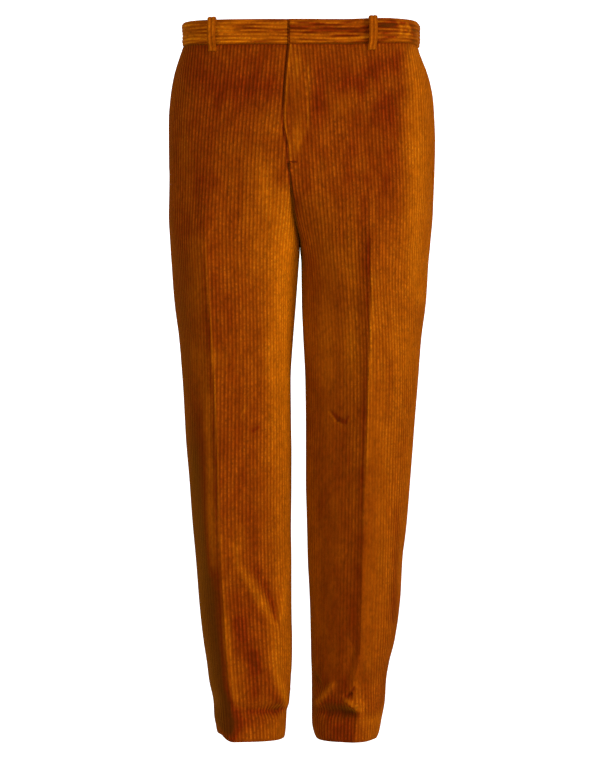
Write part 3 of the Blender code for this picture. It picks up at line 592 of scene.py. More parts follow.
# The brushed pile, and painted light and shade: painted shade in the seams, the fold hollows and the cleft
# under the fly, painted highlights on ridges and creases, lighter where the cloth turns towards the light and
# darker where it turns away from it.
PILE_AND_PAINTED_LIGHT = {
    "right back": strokes(
        # Painted shade in the back pocket's slit, seam and dart, and painted shade down the outside of the
        # leg.
        *back_pocket(42, slit=(-1.2, 1.7), seam=(-0.5, 1.5), dart=(-0.7, 1.7), dart_tip=(86, -0.2, 1.7)),
        ((150, 640, 0, 30), (136, 800, -0.5, 28), (118, 960, -0.8, 26), (108, 1036, -0.9, 24)),
    ),
    "left back": strokes(
        # Painted shade in the back pocket's slit, seam and dart, and painted light on the side of the hip.
        *back_pocket(40, slit=(-1.2, 1.7), seam=(-0.5, 1.5), dart=(-0.7, 1.7), dart_tip=(86, -0.2, 1.7)),
        ((166, 60, 0.7, 18), (172, 220, 0.9), (172, 400, 0.6, 16)),
    ),
    "left front": strokes(
        # Painted shade at the fly's tack and in the seam below it, which sinks between the thighs.
        ((-18, 208, -1.8, 1.2), (-7, 208.4)),
        ((-17.5, 211, -1.6, 1.2), (-14.5, 233, -1.8, 1.4), (-12, 256, -2.0, 1.8), (-8.5, 284, -2.2, 2.4),
         (-4, 314, -2.4, 3), (0, 340)),
        # The fly's line of stitches, and lighter cloth between it and the edge.
        ((11, 60, 0.2, 1.5), (11.4, 84, 0.6), (11.2, 104), (11.4, 140), (9.6, 158, 0.5), (1, 172, 0.4),
         (-5, 192, 0.5)),
        ((-4, 60, 0.5, 5), (-5, 76, 0.4), (-6, 100, 0)),
        ((-3, 146, 0.2, 7), (-4, 166, 0.7, 8), (-6, 182), (-8, 196, 0.3, 6)),
        ((-10, 45, 0.2, 10), (-8, 110, 0.2, 12), (0, 190, 0.1)),
        # Slanting bands across the hip, and painted light on the inside of the thigh.
        ((58, 100, -0.35, 10), (104, 78, -0.2), (150, 52)),
        ((50, 130, 0.25, 10), (100, 112, 0.1, 9), (148, 88)),
        ((60, 60, -0.3, 24), (130, 140, -0.35, 26)),
        ((30, 240, 0.4, 30), (42, 370, 0.7, 32), (48, 560, 0.5), (45, 800, 0.4, 30), (45, 950, 0.3, 28)),
        ((132, 500, -0.4, 6), (128, 590, -0.3)),
        # Painted shade in the hem's hollow and nick, and painted highlights on its ridges.
        ((24, 1015, -0.6, 8), (48, 1014, -0.9, 9), (68, 1015, -1.3, 7), (80, 1016, -1.2, 4)),
        ((79, 981, -0.8, 2.4), (74, 990, -1.0), (67, 995, -0.7)),
        ((66, 998, 0.9, 3), (76, 1004, 1.0), (86, 1014, 0.8)),
        ((48, 977, 0.6, 4), (37, 991, 0.8), (24, 1011, 0.7)),
        ((21, 966, -0.7, 3), (31, 985, -0.6)),
        ((60, 1042, -0.2, 8), (72, 1056, -0.3, 7)),
        # The pressed crease: a thin painted highlight, with painted shade on its inner side.
        ((104, 330, 0.3, 2), (104, 430, 0.7), (99.8, 545), (97, 640, 0.5), (92, 760, 0)),
        ((99, 330, -0.2, 4), (98.5, 430, -0.35), (94.5, 545), (91.5, 640, -0.3, 3), (88, 740, 0)),
        # Crushed pile on the thigh.
        ((46, 574, -0.5, 2), (55, 585, -1.0, 3.4), (66, 589, -0.7, 2.6), (70, 580, -0.4, 2)),
        ((42, 574, 0.6, 1.4), (50, 586, 0.9), (59, 592, 0.6)),
        # Broad tones, from the hip to the hem, among them painted light on the side of the hip and painted
        # shade low on the outside of the leg.
        ((164, 440, 0.2, 10), (164, 490, 0.4), (158, 540, 0.1)),
        ((76, 930, 0.2, 8), (78, 990, 0.3), (92, 1010)),
        ((76, 270, 0.2, 12), (76, 340, 0.5), (76, 400), (74, 480, 0.1), (78, 620, 0.3, 10), (78, 700),
         (76, 760, 0)),
        ((38, 390, 0, 14), (36, 440, 0.5), (36, 520, 0.3)),
        ((26, 80, -0.3, 12), (24, 150)),
        ((116, 60, -0.25, 20), (136, 130, -0.25, 24), (140, 230, -0.15, 22)),
        ((60, 60, 0.2, 10), (104, 96, 0.3, 12), (98, 130, 0.2)),
        ((146, 700, -0.1, 7), (142, 800, -0.5), (138, 880, -0.6)),
        ((16, 620, 0.2, 10), (16, 740, 0.3), (22, 900)),
        ((4, 236, -0.1, 12), (30, 244, -0.3, 20)),
        ((0, 370, 0.3, 9), (6, 440, 0.7, 11), (16, 510, 0.1, 9)),
        ((54, 500, -0.1, 18), (54, 720, -0.2, 20)),
        ((104, 380, 0.3, 16), (100, 450, 0.4), (98, 560, 0.3, 12)),
        ((140, 340, 0.2, 22), (134, 420, 0.45, 24), (128, 560, 0.45, 22), (120, 700, 0.4, 18),
         (112, 800, 0.35), (106, 900, 0.2)),
        ((166, 60, 0.7, 18), (172, 220, 0.9), (172, 400, 0.6, 16)),
        ((150, 850, -0.2, 10), (130, 975, -0.6, 14), (116, 1010, -0.5)),
        ((90, 1030, 0.4, 8), (110, 1032, 0.3)),
        # Small differences of tone.
        ((6, 218, -0.2, 10), (10, 252, -0.1)),
        ((148, 56, -0.4, 12), (152, 104)),
        ((100, 98, -0.15, 12), (78, 145), (76, 190, -0.25)),
        ((80, 320, -0.15, 18), (108, 365, -0.1, 16)),
        ((76, 430, 0.2, 11), (75, 475, 0.6), (76, 520, 0.3, 10)),
        ((150, 430, 0.2, 14), (152, 470, 0.4), (150, 520, 0.1, 12)),
        ((98, 590, 0.2, 12), (98, 640, 0.3)),
        ((101, 925, 0.3, 8), (101, 948)),
        ((30, 1022, 0.4, 9), (32, 1044)),
    ),
    "right front": strokes(
        # Painted shade in the seam below the fly, which sinks between the thighs.
        ((18.5, 211, -1.0, 1.2), (15.5, 233, -1.2, 1.4), (13, 256, -1.4, 1.6), (9.5, 284, -1.6, 1.8),
         (5, 314, -1.8, 2), (1, 340)),
        # The hip, painted light on the inside of the thigh and painted shade down the outside of the leg.
        ((62, 130, 0.1, 20), (44, 165, 0.35, 24), (34, 200, 0.0, 22)),
        ((150, 84, -0.1, 26), (90, 96, -0.2), (28, 94, -0.15, 24)),
        ((34, 215, 0.3, 20), (28, 300, 0.6, 22), (26, 430, 0.6, 20), (26, 620, 0.6, 18), (24, 800, 0.5, 16),
         (22, 980, 0.4, 14)),
        ((172, 420, -0.1, 24), (160, 620, -0.4, 22), (140, 820, -0.6, 20), (122, 1000, -0.9, 16),
         (114, 1040, -1.0, 14)),
        # Painted light on the shin, and painted shade in the hollows and painted highlights on the ridges of
        # the hem's folds.
        ((118, 762, 0.3, 4), (114, 852, 0.6, 5), (106, 925, 0.6, 6), (98, 996), (95, 1015, 0, 5)),
        ((98, 836, -0.1, 8), (86, 880, -0.3, 11), (80, 920, -0.2, 10), (66, 985, -0.2, 14)),
        ((90, 1016, -0.3, 6), (60, 1017, -0.6, 8), (44, 1016, -0.9), (31, 1015, -1.2, 7)),
        ((50, 960, -0.2, 8), (44, 990, -0.4), (36, 1004, -0.5, 6)),
        ((20, 960, -0.2, 7), (17, 1000, -0.4)),
        ((66, 925, 0.2, 7), (60, 960, 0.1)),
        ((98, 768, 0.3, 5), (92, 802, 0.5, 6), (77, 823, 0.7, 6.5), (61, 853, 0.8, 7), (46, 878, 0.6),
         (42, 914, 0.5, 8), (41, 941, 0.5, 7), (38.7, 962, 0.6, 6), (30, 991, 0.8, 4),
         (25.4, 1010, 0.9, 3.5)),
        ((66, 800, -0.2, 8), (54, 830, -0.4), (43, 856, -0.5, 6), (39, 880, -0.7, 3)),
        ((20, 806, 0.1, 5), (26, 846, 0.5, 4), (32, 878, 0.6), (35, 896, 0.3)),
        ((34, 884, -0.5, 1.6), (35, 900, -0.3)),
        ((122, 880, 0.1, 7), (114, 985, -0.2, 8), (108, 1015, -0.6), (104, 1050, -0.6, 9)),
        ((34, 1036, 0.4, 14), (70, 1040, 0.2)),
        # The pressed crease: a thin painted highlight, with painted shade on its outer side.
        ((139, 330, 0.3, 2), (134.2, 412, 0.7), (130.5, 462, 0.8), (125.2, 556), (122.3, 629, 0.7),
         (118.6, 770, 0.5)),
        ((144, 330, 0, 4), (136, 462, -0.2), (130, 590), (124.5, 730, -0.1)),
        # Crushed pile on the thigh.
        ((80, 568, 0.5, 1.5), (86, 576), (84, 586, 0.3)),
        ((62, 596, -0.5, 2), (70, 602)),
        # Broad tones: painted light towards the inside of the thigh, painted shade down the outside of the
        # leg.
        ((24, 215, 0, 12), (20, 260, 0.5, 13), (14, 300, 1.1, 15), (14, 400, 1.3), (18, 450, 0.8),
         (20, 520, 0.6, 13), (22, 620, 0.3, 12)),
        ((56, 205, 0.2, 16), (52, 250, 0.8), (44, 300, 0.5), (38, 380), (38, 460, 0.2)),
        ((152, 330, 0.3, 18), (146, 500, 0.4, 14), (138, 560, 0.8, 9), (136, 640, 0.9, 8), (134, 740, 0.8, 7),
         (131, 800, 0.3)),
        ((162, 600, -0.2, 8), (156, 680, -0.6), (151, 760, -0.9, 9), (142, 850, -1.0, 11),
         (134, 930, -1.1, 12), (120, 1000, -0.9, 11), (112, 1034, -1.2)),
        ((170, 100, 0.2, 12), (172, 240, 0.3, 14), (160, 330, 0.1), (160, 420, 0.2, 12)),
        ((96, 770, 0.2, 8), (88, 790, 0.1)),
        ((111, 905, 0.2, 5), (110, 1000)),
        ((88, 950, 0.25, 8), (88, 990)),
        ((68, 950, -0.25, 8), (64, 1000, -0.2)),
        ((60, 238, -0.2, 12), (20, 238, -0.3)),
        ((130, 330, -0.1, 10), (132, 380, -0.25, 12), (130, 430, 0, 10)),
        ((158, 455, 0.2, 9), (158, 510, 0.4), (150, 600, 0.1, 8)),
        ((84, 104, -0.14, 24), (40, 114, -0.2)),
        ((120, 205, 0.25, 26), (66, 225)),
        ((90, 1032, -0.5, 12), (50, 1034), (30, 1034, -0.3, 10)),
        # Small differences of tone.
        ((22, 218, -0.22, 10), (22, 246, -0.1)),
        ((92, 186, 0.2, 14), (70, 192)),
        ((78, 272, 0.3, 12), (66, 320, 0.55), (66, 355, 0.5), (62, 400, 0.1)),
        ((43, 435, 0.2, 11), (43, 480, 0.7), (42, 560, 0.5), (42, 640, 0.4)),
        ((150, 492, 0.3, 14), (124, 494, 0.4)),
        ((134, 650, 0.3, 8), (132, 740, 0.5), (131, 812)),
        ((90, 745, 0.4, 9), (88, 772)),
        ((113, 880, 0.4, 6), (112, 985, 0.5)),
        ((90, 885, -0.5, 8), (86, 905, -0.4)),
        ((66, 930, -0.4, 7), (64, 956)),
        ((137, 925, -0.3, 7), (134, 955, -0.4)),
        ((113, 1022, -0.5, 8), (110, 1040, -0.4)),
    ),
    "left band": strokes(
        # Painted highlights on the pinches beside the loop.
        ((142, 6, 0.9, 1.8), (148, 15), (147, 24)),
        ((156, 6, 0.9, 1.8), (161, 15), (158, 24)),
        ((147, 24, 0.7, 1.6), (158, 24)),
        # A light line along the band, with darker places above it and beside the loop.
        ((-12, 31, 0.5, 4), (60, 30), (170, 29, 0.4)),
        ((-12, 14, -0.2, 6), (60, 15, -0.7, 7), (80, 15, -0.6), (104, 14, -0.2)),
        ((128, 13, -0.5, 7), (140, 13)),
        ((120, 10, -0.7, 6), (136, 8)),
        ((124, 26, -0.6, 7), (136, 28, -0.4, 6)),
        ((164, 8, -0.9, 5), (168, 20), (168, 34)),
        ((52, 8, 0.1, 6), (84, 8, 0.2)),
    ),
    "right band": strokes(
        # A light line along the band, with darker and lighter places above it.
        ((20, 31, 0.4, 4), (130, 30, 0.6, 5), (170, 30, 0.5)),
        ((24, 16, -0.4, 6), (60, 17, -0.3, 7), (94, 15, -0.2, 6)),
        ((104, 17, 0.6, 9), (124, 17, 0.3)),
        ((142, 15, -0.3, 5), (164, 15, -0.2)),
    ),
}
# Where the ribs are worn or pressed flatter: 1 would be quite flat.
PRESSED = {
    "left front": strokes(
        ((-14, 60, 0.1, 8), (-10, 120, 0.35, 12), (-4, 190, 0.4)),
        ((112, 520, 0.2, 16), (106, 700, 0.5, 20), (92, 960, 0.6)),
        ((40, 380, 0.3, 30), (44, 560, 0.5), (44, 960, 0.7, 28)),
    ),
    "right front": strokes(
        ((168, 360, 0.4, 22), (148, 700, 0.7, 20), (120, 1000, 0.8, 16)),
    ),
}
# Painted light and shade: how much lighter the cloth is made where it faces the wearer's left, towards the
# key light, and darker where it faces the wearer's right.
PAINTED_SIDE_LIGHT = 0.38
# The middle of the leg inside a panel, as shares of the panel's own middle.
LEG_MIDDLE = (0.9, 0)


def stroke_total(table, half, face, x, drop):
    """The summed amounts of a table's strokes on a panel or band, at distances x outwards, at one drop."""
    total = np.zeros(len(x))
    spot = np.stack([x * 1000, np.full(len(x), drop * 1000)], axis=1)
    for path in table.get(f"{half.name} {face}", ()):
        nearest = np.full(len(x), np.inf)
        amount, reach = np.zeros(len(x)), np.ones(len(x))
        for a, b in zip(path, path[1:]):
            run = np.array((b.x - a.x, b.drop - a.drop), float)
            t = np.clip((spot - (a.x, a.drop)) @ run / (run @ run), 0, 1)
            away = np.linalg.norm(spot - (a.x, a.drop) - t[:, None] * run, axis=1)
            closer = away < nearest
            nearest = np.where(closer, away, nearest)
            amount = np.where(closer, a.amount + (b.amount - a.amount) * t, amount)
            reach = np.where(closer, a.reach + (b.reach - a.reach) * t, reach)
        total += amount * np.exp(-((nearest / reach) ** 2))
    return total


def facing_left_of(surface):
    """How far each point of a grid of points faces the wearer's left, from -1 to 1. It looks a rib's width to
    each side, so the ribs themselves don't count."""
    rows, columns = np.indices(surface.shape[:2])
    step = len(RIB_SHAPE)
    last = surface.shape[1] - 1
    across = surface[rows, np.minimum(columns + step, last)] - surface[rows, np.maximum(columns - step, 0)]
    down = np.gradient(surface, axis=0)
    facing = np.cross(across, down)
    facing /= np.linalg.norm(facing, axis=2)[:, :, None] + 1e-12
    middle = surface[..., :2].mean(axis=(0, 1))
    outwards = (facing[..., :2] * (surface[..., :2] - middle * LEG_MIDDLE)).sum()
    return facing[..., 0] * np.sign(outwards)


# A smooth random unevenness: about how much it adds or takes away, and how large its swells are on the cloth.
Ripple = namedtuple("Ripple", "amount across down")
RIPPLE_WAVES, RIPPLE_RATE = 9, 0.7
PANEL_SWELL, PANEL_WANDER = Ripple(0.0009, 0.09, 0.26), Ripple(0.00035, 0.03, 0.12)
BAND_SWELL, BAND_WANDER = Ripple(0.0007, 0.05, 0.02), Ripple(0.0003, 0.05, 1.0)
BAND_STREAKS = Ripple(0.50, 0.06, 0.006)


def uneven(ripple, seed, across, down):
    """A ripple at places on the cloth. Each seed makes another one."""
    random = np.random.default_rng(seed)
    total = 0.0
    for _ in range(RIPPLE_WAVES):
        kx, kz = random.normal(size=2) / (ripple.across, ripple.down)
        wave = (kx * across + kz * down) * RIPPLE_RATE
        total = total + np.sin(2 * np.pi * wave + random.uniform(0, 2 * np.pi))
    return ripple.amount * (total / np.sqrt(RIPPLE_WAVES))


# ---- Building shells


def relief(at):
    """A rib's height, 0 in a groove and 1 on top, at a distance from the grain line."""
    share = np.array([s for s, _ in RIB_SHAPE] + [1.0])
    height = np.array([h for _, h in RIB_SHAPE] + [0.0])
    return np.interp(np.mod(at / RIB_PITCH, 1.0), share, height)


# The pieces' own numbers, which keep their patterns apart, start here for each kind of piece.
PANEL_SERIAL, FACING_SERIAL, BAND_SERIAL, LOOP_SERIAL = 1, 5, 7, 10


def cloth_at(across, down, serial):
    """The cloth's own coordinates: metres across the ribs and along them, and the piece's number."""
    return np.stack(np.broadcast_arrays(across, down, float(serial)), axis=-1)


# How high the ribs count as being on the inside, and how its pile lies.
INSIDE_RIB, INSIDE_NAP = 0.5, -0.3


def shell(name, outer, inner, same, cloth, rib, nap_and_painted_light):
    """A closed shell between two grids of points, rows x columns x 3. same marks each point of a row that
    is the one before it over again. cloth and rib are the outer side's own coordinates and its ribs' height,
    and the last argument is the lie of its pile together with painted light and shade."""
    rows, columns = outer.shape[:2]
    fresh = ~same
    fresh[:, 0] = True
    ids = np.cumsum(fresh.ravel()).reshape(rows, columns) - 1
    count = int(ids[-1, -1]) + 1
    keep = fresh.ravel()
    points = np.concatenate([outer.reshape(-1, 3)[keep], inner.reshape(-1, 3)[keep]])
    faces = []
    for skin, offset in ((0, 0), (1, count)):
        a, b = ids[:-1, :-1] + offset, ids[:-1, 1:] + offset
        d, c = ids[1:, :-1] + offset, ids[1:, 1:] + offset
        quads = (a != b) & (c != d)
        faces += np.stack([a[quads], b[quads], c[quads], d[quads]], axis=1)[:, :: 1 - 2 * skin].tolist()
        tips = (a == b) & (c != d)
        faces += np.stack([a[tips], c[tips], d[tips]], axis=1)[:, :: 1 - 2 * skin].tolist()
        tips = (a != b) & (c == d)
        faces += np.stack([a[tips], b[tips], c[tips]], axis=1)[:, :: 1 - 2 * skin].tolist()
    rim = np.concatenate([ids[:, 0], ids[-1, 1:], ids[-2::-1, -1], ids[0, -2:0:-1]])
    rim = rim[rim != np.roll(rim, 1)]
    following = np.roll(rim, -1)
    faces += np.stack([rim, following, following + count, rim + count], axis=1).tolist()
    made = mesh_object(name, points, faces)
    add_attributes(
        made,
        np.concatenate([cloth.reshape(-1, 3)[keep]] * 2),
        np.append(rib.ravel()[keep], np.full(count, INSIDE_RIB)),
        np.append(nap_and_painted_light.ravel()[keep], np.full(count, INSIDE_NAP)),
    )
    return turn_out(made)


def add_attributes(made, cloth, rib, nap_and_painted_light):
    """What the material reads at each point of a piece."""
    for name, kind, key, values in (
        ("cloth", "FLOAT_VECTOR", "vector", cloth),
        ("rib", "FLOAT", "value", rib),
        ("nap_and_painted_light", "FLOAT", "value", nap_and_painted_light),
    ):
        attribute = made.data.attributes.new(name, kind, "POINT")
        attribute.data.foreach_set(key, np.asarray(values, np.float32).ravel())


def mesh_object(name, points, faces):
    """A smooth-shaded mesh in the scene."""
    data = bpy.data.meshes.new(name)
    data.from_pydata(np.asarray(points, float), [], faces)
    data.validate()
    data.shade_smooth()
    made = bpy.data.objects.new(name, data)
    bpy.context.scene.collection.objects.link(made)
    return made


def turn_out(made):
    """Faces turned to face out, by the sign of the enclosed volume."""
    data = made.data
    co = np.empty(len(data.vertices) * 3)
    data.vertices.foreach_get("co", co)
    co = co.reshape(-1, 3)
    data.calc_loop_triangles()
    tri = np.empty(len(data.loop_triangles) * 3, np.int32)
    data.loop_triangles.foreach_get("vertices", tri)
    a, b, c = (co[tri.reshape(-1, 3)[:, k]] for k in range(3))
    if (a * np.cross(b, c)).sum() < 0:
        data.flip_normals()
    return made


# ---- The panels

HEM_FOLD = HEM_DROP - HEM_TURN_UP
# The stretches of a panel's rows: where each ends, and how far apart its rows are in front and behind. They
# are close together where something small runs across them.
Stretch = namedtuple("Stretch", "end front back")
STRETCHES = (
    Stretch(0.076, 0.0075, 0.0075),
    Stretch(0.103, 0.0068, 0.0013),
    Stretch(0.196, 0.0075, 0.0075),
    Stretch(0.340, 0.0050, 0.0050),
    Stretch(0.568, 0.0095, 0.0095),
    Stretch(0.608, 0.0030, 0.0095),
    Stretch(0.820, 0.0095, 0.0095),
    Stretch(0.964, 0.0060, 0.0060),
    Stretch(1.026, 0.0027, 0.0052),
    Stretch(HEM_DROP, 0.0050, 0.0050),
)
# More rows: just under the band, across the tack, on both sides of the fly's end and of the turn-up's, and at
# the very edge.
EXTRA_ROWS = (WAISTBAND_HEIGHT + 0.0020, 0.2066, 0.2076, 0.2086, 0.2096, FLY_END - 0.0004, FLY_END + 0.0004)
EXTRA_ROWS += (HEM_FOLD - 0.0006, HEM_FOLD + 0.0006, HEM_DROP - 0.0008, HEM_DROP)
ROWS_CLOSEST = 3e-4
# How many ribs lie outwards and inwards of the grain line, and how far they keep from the edge's own columns.
RIBS_OUTWARDS, RIBS_INWARDS = 42, 66
COLUMNS_CLEAR = 0.0002
# Where the middle edge turns into the cleft under the fly.
CLEFT_GROWS, CLEFT_FADE = (CLEFT_TOP - 0.002, CLEFT_TOP + 0.004), (FORK_DROP, FORK_DROP + 0.008)
CLEFT_REACH = {"front": 0.004, "back": 0.030}
CLEFT_PRESS, CLEFT_PRESS_REACH = 0.0004, 0.006
# Folds and swells fade out over this much towards a panel's edges.
FOLD_FADE, SWELL_FADE = 0.012, 0.020
# A panel's upper and lower ends are rounded over this much, lie this much lower and have lower ribs.
END_ROUNDED, END_LOWER, END_FLATTER = 0.0016, 0.0004, 0.7
# How flat worn ribs get at most, and at which share of a rib's height they lie then.
WORN_MOST, WORN_LEVEL = 0.9, 0.7


def row_drops(face):
    """The levels of a panel's rows."""
    drops = list(EXTRA_ROWS)
    start = WAISTBAND_HEIGHT - TUCKED_IN
    for stretch in STRETCHES:
        count = max(2, round((stretch.end - start) / getattr(stretch, face)))
        drops += list(np.linspace(start, stretch.end, count, endpoint=False))
        start = stretch.end
    drops = np.array(sorted(drops))
    return drops[np.append(True, np.diff(drops) > ROWS_CLOSEST)]


def rib_columns(half, face):
    """A function that gives a row's columns: along every rib, cut off at the panel's edges."""
    shape = np.array([share for share, _ in RIB_SHAPE])
    ribs = ((np.arange(-RIBS_OUTWARDS, RIBS_INWARDS)[:, None] + shape) * RIB_PITCH).ravel()
    edge = np.array(EDGE_STEPS)
    clear = edge[-1] + COLUMNS_CLEAR

    def columns_at(drop, length, grain):
        low, high = -SEAM_LAP, length + SEAM_LAP
        if face == "front" and drop < FLY_END:
            high = length + (lap(drop) if half is LEFT else FLY_UNDERLAP)
        inside = np.clip(grain + ribs, low + clear, high - clear)
        return np.concatenate([low + edge, inside, high - edge[::-1]])

    return columns_at


def in_cleft(face, at, length, drop):
    """1 on the middle edge where it turns into the cleft under the fly, where the halves stay closed."""
    level = ease(*CLEFT_GROWS, drop) * (1 - ease(*CLEFT_FADE, drop))
    reach = CLEFT_REACH[face]
    return level * ease(length - reach, length - reach / 2, at)


def panel(half, face):
    """A leg's front or back: its bare form row by row, with folds, seams and ribs raised on it."""
    outer, inner, same, cloth, rib, nap_and_painted_light, bare = [], [], [], [], [], [], []
    drops = row_drops(face)
    columns_at = rib_columns(half, face)
    serial = PANEL_SERIAL + HALVES.index(half) + 2 * (face == "back")
    for drop in drops:
        row = form_row(half, face, drop, columns_at, square_cut=drop in (drops[0], drops[-1]))
        at, from_grain, past = row.at, row.across, row.at - row.length
        from_edge = np.minimum(at - at[0], at[-1] - at)
        closed = in_cleft(face, at, row.length, drop)
        edged = (1 - ease(0, EDGE_STEPS[-1], from_edge)) * (1 - closed)
        at_end = 1 - ease(0, END_ROUNDED, min(HEM_DROP - drop, drop - drops[0]))
        x = half.sign * row.points[:, 0]
        rise = stroke_total(FOLDS, half, face, x, drop) / 1000 * ease(0, FOLD_FADE, from_edge)
        if face == "front":
            rise = rise + fly_offset(half, past, drop) + pocket_lift(at, drop)
        rise = rise + uneven(PANEL_SWELL, 11 * serial, from_grain, drop) * ease(0, SWELL_FADE, from_edge)
        rise = rise - SEAM_SINK * edged + CLEFT_PRESS * closed * (1 - ease(0, CLEFT_PRESS_REACH, from_edge))
        worn = stroke_total(PRESSED, half, face, x, drop).clip(0, WORN_MOST)
        height = relief(from_grain + uneven(PANEL_WANDER, 7 * serial, from_grain, drop))
        height = height * (1 - worn) + WORN_LEVEL * worn
        height = height * (1 - edged) * (1 - END_FLATTER * at_end)
        height = height + (1 - height) * closed
        # Painted shade in a thin line just under the band, added to the strokes' brushed pile and painted
        # light and shade.
        under_band = 1 - ease(WAISTBAND_HEIGHT, WAISTBAND_HEIGHT + UNDER_BAND_REACH, drop)
        brushed_and_painted_light = stroke_total(PILE_AND_PAINTED_LIGHT, half, face, x, drop) + UNDER_BAND_SHADE * under_band
        points = row.points + (0, 0, 1) * hem_lift(half, at, drop)[:, None]
        thickness = CLOTH + CLOTH * (drop > HEM_FOLD)
        outer.append(points + row.normals * (rise + (height - 1) * RIB_HEIGHT - END_LOWER * at_end)[:, None])
        inner.append(points + row.normals * (rise - thickness)[:, None])
        same.append(np.append(False, np.diff(at) < 1e-7))
        cloth.append(cloth_at(from_grain, drop, serial))
        rib.append(height)
        # Painted shade in the seams and in the groove beside the fly, and a painted highlight along the fly's
        # edge.
        nap_and_painted_light.append(brushed_and_painted_light + seam_shading(half, face, from_edge, past, drop))
        bare.append(points + row.normals * rise[:, None])
    # Painted light and shade: lighter where the bare form faces the wearer's left, towards the key light, and
    # darker where it faces the wearer's right.
    nap_and_painted_light = np.array(nap_and_painted_light) + PAINTED_SIDE_LIGHT * facing_left_of(np.array(bare))
    return shell(f"{face}_{half.name}_cloth", *map(np.array, (outer, inner, same, cloth, rib, nap_and_painted_light)))


# ---- Pocket facings

FACING_START, FACING_NAP = 0.0012, -0.2
FACING_DROPS = np.linspace(POCKET_TOP - 0.002, POCKET_BOTTOM + 0.003, 40)


def pocket_facing(half):
    """The strip of cloth that shows in a side pocket's slit, from the side seam inwards."""
    outer, inner, same, cloth, rib = [], [], [], [], []
    places = np.append(np.arange(FACING_START, FACING_WIDTH, RIB_PITCH / 6), FACING_WIDTH)
    serial = FACING_SERIAL + HALVES.index(half)
    height = relief(places)
    for drop in FACING_DROPS:
        row = form_row(half, "front", drop, lambda *_: places)
        depth = pocket_lift(places, drop) - CLOTH - PLY_GAP
        outer.append(row.points + row.normals * (depth + (height - 1) * RIB_HEIGHT)[:, None])
        inner.append(row.points + row.normals * (depth - CLOTH)[:, None])
        same.append(np.zeros(len(places), bool))
        cloth.append(cloth_at(places, drop, serial))
        rib.append(height)
    nap_and_painted_light = np.full_like(rib, FACING_NAP)
    return shell(f"pocket_facing_{half.name}_cloth", *map(np.array, (outer, inner, same, cloth, rib, nap_and_painted_light)))


# ---- The waistband

WAISTBAND_PROUD = 0.0013
WAISTBAND_THICKNESS = 0.0040
# The left end laps over the right one, at the lap that the fly has at this drop.
BAND_LAP_LIFT, BAND_LAP_PLY, BAND_LAP_DROP = 0.0016, 0.0020, 0.018
BAND_END_SHORTER = 0.002
BAND_STEP = 0.0026
# More places beside the lap's edge.
BESIDE_LAP = np.array((-5, -4, -3, -2, -1, 1, 2)) / 1000
# The long edges roll in by this much, and the ends sink by that much. The ribs end this far from both.
BAND_ROLL, BAND_ROLL_REACH = 0.0016, (-0.0006, 0.0026)
BAND_END_SUNK, BAND_EDGE = 0.0012, 0.0030
BAND_FIRST_RIB = 0.0024
# The right end's groove along the lap's edge, as a share of the fly's.
BAND_TROUGH = 1.2
# How the band's pile lies in front and behind, which change over between these depths at the sides.
BAND_NAP, BAND_NAP_BEHIND = {"right": 0.75, "left": 0.25}, 0.15
BAND_SIDE = (-0.030, 0.030)
# How far the painted shade at the band's ends reaches.
BAND_END_SHADE_REACH = (0.0006, 0.0030)


def band_line(half, drop):
    """The waist at one level from the middle of the back, round the side, to past the middle of the front."""
    back = half_curve(half, "back", drop)[::-1]
    front = half_curve(half, "front", drop)
    both = np.concatenate([back, front[1:]])
    return np.concatenate([both, past_middle(half, drop)]), arc_of(both)[-1]


def band_profile():
    """The waistband's closed outline as (drop, share of the way in, how much it is the outer face): up the
    ribbed outside, over the rolled top, down the inside and under the bottom."""
    fine = np.arange(0, WAISTBAND_HEIGHT, RIB_PITCH / 8)
    outside = [(d, 0.0, 1.0) for d in np.append(fine, WAISTBAND_HEIGHT)[::-1]]
    inside = [(d, 1.0, 0.0) for d in np.linspace(0.0, WAISTBAND_HEIGHT, 8)]
    return np.array(outside + [(-0.0002, 0.35, 0.5), (-0.0002, 0.65, 0.5)] + inside)


